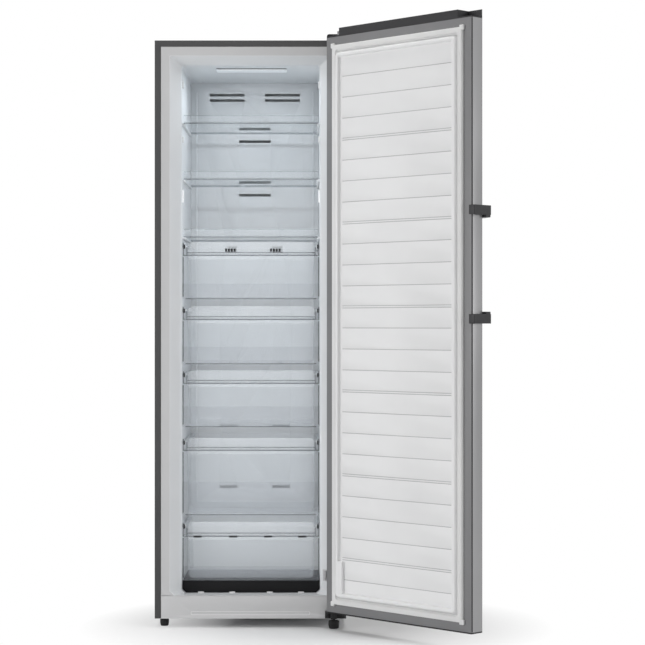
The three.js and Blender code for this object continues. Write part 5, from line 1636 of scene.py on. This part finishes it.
    def gasket(self) -> None:
        """Makes the gasket: a foot, a bellows fold and the magnet pocket, with corner nubs."""
        inset, width, height = self.gasket_inset, self.gasket_width, self.gasket_height
        section = [
            (0.0, 0.35), (width, 0.35), (width, 1.7), (width - 3.2, 2.6), (width - 2.4, 4.0), (width - 4.4, 5.0),
            (width - 4.0, height - 1.0), (width - 5.0, height), (2.8, height), (1.8, height - 1.0),
            (2.2, 5.2), (0.4, 4.2), (1.8, 3.2), (0.0, 2.0),
        ]
        line = rounded(section, [0.3, 0.3, 0.5, 0.7, 0.5, 0.6, 0.5, 0.8, 0.8, 0.5, 0.7, 0.6, 0.7, 0.5], 2)
        rings = [self.ring(inset + a, h, 8 + (width - a) * 0.1, self.gasket_shift) for a, h in line]
        form = Form().rings(rings, cap=False, join=True)
        form.done(Piece(
            "door_seal", "door", "gasket_white", GASKET, Datum.DOOR, ("door_gasket",), 60,
        ))
        nubs = Form()
        reach, centre = self.nub_half, inset + self.nub_inset
        across = self.half - centre - self.gasket_shift
        for x in (-across, across):
            for z in (self.bottom + centre, self.top - centre):
                nubs.box((x - reach, self.face + 0.3, z - reach),
                         (x + reach, self.face + height - 0.6, z + reach), 2.4, 4)
        nubs.done(Piece(
            "door_seal_corners", "door", "gasket_white", GASKET, Datum.DOOR, sharp=50,
        ))

    def seam(self) -> None:
        """Makes the dark strip beside the frame's face, which is painted shade in the seam between frame and skin, and
        the bright edge between it and the skin.
        """
        # Painted shade: a dark strip where the seam's gap lies in shadow.
        self.strip("door_seam_shade_strip", "dark_rubber", RUBBER, (self.face - 5.2, self.face - 0.9))
        self.strip("door_edge_strip", "stainless", STAINLESS, (self.face - 7.0, self.face - 5.2))

    def strip(self, name: str, slot: str, finish: Finish, depths: Point2) -> None:
        """Makes one thin strip that runs round the door's edge.

        Args:
            name: the piece's name.
            slot: its material slot.
            finish: its finish.
            depths: where the strip ends and starts behind the closed door's face.
        """
        edge = self.half + self.strip_proud
        outer = rounded_rectangle(-edge, edge, self.bottom + 1.5, self.top - 1.5, 2, 3)
        inner = rounded_rectangle(-edge + 1.2, edge - 1.2, self.bottom + 2.7, self.top - 2.7, 1.5, 3)
        form = Form().frame(outer, inner, depths)
        form.done(Piece(name, "door", slot, finish, Datum.DOOR, sharp=50))


@dataclass
class Handle:
    """The bar handle and its two wrap-round brackets."""

    dresser: NodeDresser

    def build(self) -> None:
        """Dresses the bar and the brackets."""
        for node, edge in (("handle_bracket_upper", 0.9), ("handle_bracket_lower", 0.9), ("handle_bar", 1.2)):
            self.dresser.dress(node, HANDLE, edge, 3)


# ---------------------------------------------------------------- studio

@dataclass(frozen=True)
class Softbox:
    """A large soft lamp aimed at a point."""

    name: str
    place: tuple[float, float, float]
    target: tuple[float, float, float]
    width: float
    height: float
    power: float
    colour: Colour = (1.0, 1.0, 1.0)
    mirrored: bool = True

    def build(self) -> None:
        """Adds the lamp to the scene."""
        data = bpy.data.lights.new(self.name, "AREA")
        data.shape = "RECTANGLE"
        data.size, data.size_y = self.width, self.height
        data.energy = self.power
        data.color = self.colour
        lamp = bpy.data.objects.new(self.name, data)
        lamp.location = self.place
        aim = Vector(self.target) - Vector(self.place)
        lamp.rotation_euler = aim.to_track_quat("-Z", "Y").to_euler()
        lamp.visible_camera = False
        lamp.visible_glossy = self.mirrored
        bpy.context.scene.collection.objects.link(lamp)


@dataclass
class Studio:
    """The camera, the lamps, the pale world and the floor."""

    world_light: float = 0.3
    floor_half: float = 9.0
    floor_colour: Colour = (0.86, 0.86, 0.86)
    fade_start: float = 0.26
    fade_end: float = 0.74

    def build(self) -> None:
        """Sets the whole studio up."""
        self.camera()
        self.world()
        self.floor()
        for lamp in self.lamps():
            lamp.build()

    def lamps(self) -> Iterable[Softbox]:
        """The studio's lamps and the light under the freezer's own ceiling lamp."""
        low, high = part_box("lamp_cover")
        middle = (low + high) / 2
        yield Softbox("front_softbox", (-0.9, -6.6, 1.3), (0.0, 0.0, 0.95), 3.4, 2.6, 22.0)
        yield Softbox("left_softbox", (-4.8, -2.4, 1.3), (0.0, -0.2, 0.9), 2.2, 2.6, 98.0)
        yield Softbox("right_softbox", (3.8, -3.0, 1.1), (0.2, -0.2, 0.9), 1.4, 2.6, 66.0)
        yield Softbox("top_softbox", (0.0, -0.1, 4.4), (0.0, -0.1, 0.9), 2.6, 2.6, 90.0)
        yield Softbox("rear_softbox", (1.2, 4.6, 2.4), (0.0, 0.2, 0.9), 2.6, 2.6, 20.0)
        yield Softbox(
            "ceiling_lamp", (middle.x, middle.y, low.z - 0.004), (middle.x, middle.y + 0.05, 0.2), 0.2, 0.05, 1.0,
            (0.86, 0.94, 1.0),
        )
        shell_front = SHELL_LOW.y + 0.03
        yield Softbox(
            "mouth_fill", (middle.x, shell_front, 0.78), (middle.x, shell_front + 1, 0.78), 0.4, 1.25, 1.5,
            (0.94, 0.97, 1.0), False,
        )

    def camera(self) -> None:
        """Sets the camera where the photograph was taken from."""
        lens, sensor = 110.7, 36.0
        distance, height, right = 6161.0, 940.0, 185.0
        pixels, axis_x, axis_y = 645.0, 310.0, 325.0
        data = bpy.data.cameras.new("photo_camera")
        data.lens = lens
        data.sensor_width = sensor
        data.shift_x = (pixels / 2 - axis_x) / pixels
        data.shift_y = (axis_y - pixels / 2) / pixels
        data.clip_end = 100
        camera = bpy.data.objects.new("photo_camera", data)
        camera.location = cabinet_matrix() @ Vector((right, -distance, height))
        camera.rotation_euler = (math.pi / 2, 0, 0)
        bpy.context.scene.collection.objects.link(camera)
        bpy.context.scene.camera = camera

    @staticmethod
    def seen_directly(wires: Wires) -> bpy.types.NodeSocket:
        """1 for camera, glossy and transmission rays."""
        path = wires.add("LightPath").outputs
        mirrored = wires.math("MAXIMUM", path["Is Glossy Ray"], path["Is Transmission Ray"])
        return wires.math("MAXIMUM", path["Is Camera Ray"], mirrored)

    def world(self) -> None:
        """Sets a white background over an even grey light."""
        world = bpy.data.worlds.new("pale_studio")
        bpy.context.scene.world = world
        world.use_nodes = True
        wires = Wires(world.node_tree)
        back = world.node_tree.nodes["Background"]
        back.inputs["Color"].default_value = (1, 1, 1, 1)
        seen = self.seen_directly(wires)
        wires.join(wires.ramp(seen, 0, 1, self.world_light, 1.0), back.inputs["Strength"])

    def floor(self) -> None:
        """Makes the pale floor, which fades to the white background away from the freezer."""
        form = bmesh.new()
        bmesh.ops.create_grid(form, x_segments=12, y_segments=12, size=self.floor_half)
        mesh = bpy.data.meshes.new("studio_floor")
        form.to_mesh(mesh)
        form.free()
        material = bpy.data.materials.new("studio_floor")
        material.use_nodes = True
        wires = Wires(material.node_tree)
        shader = material.node_tree.nodes["Principled BSDF"]
        shader.inputs["Base Color"].default_value = (*self.floor_colour, 1)
        shader.inputs["Roughness"].default_value = 0.9
        shader.inputs["Specular IOR Level"].default_value = 0.1
        reach = wires.add("VectorMath", {"operation": "LENGTH"})
        wires.join(wires.add("TexCoord").outputs["Object"], reach.inputs[0])
        far = wires.ramp(reach.outputs["Value"], self.fade_start, self.fade_end)
        white = wires.add("Emission")
        mixed = wires.add("MixShader")
        wires.join(wires.math("MULTIPLY", far, self.seen_directly(wires)), mixed.inputs[0])
        wires.join(shader.outputs[0], mixed.inputs[1])
        wires.join(white.outputs[0], mixed.inputs[2])
        wires.join(mixed.outputs[0], material.node_tree.nodes["Material Output"].inputs[0])
        mesh.materials.append(material)
        floor = bpy.data.objects.new("studio_floor", mesh)
        bpy.context.scene.collection.objects.link(floor)


def main() -> None:
    """Builds the freezer piece by piece and sets it in the studio."""
    logging.basicConfig(level=logging.INFO, format="%(message)s")
    bpy.context.scene.view_settings.view_transform = "Standard"
    bpy.context.scene.cycles.transparent_max_bounces = CLEAR_LAYERS
    bpy.context.scene.cycles.diffuse_bounces = DIFFUSE_BOUNCES
    dresser = NodeDresser(smooth_shading())
    body = CabinetBody(dresser)
    parts = [body, SideLedges(body), ColdAir(dresser), MachineRoom(dresser), Hinges(dresser), Door(dresser),
             Handle(dresser)]
    parts += [Shelf(dresser, number) for number in range(1, SHELVES + 1)]
    parts += [Drawer(number) for number in range(1, DRAWERS + 1)]
    for part in parts:
        part.build()
    Studio().build()


if __name__ == "__main__":
    main()
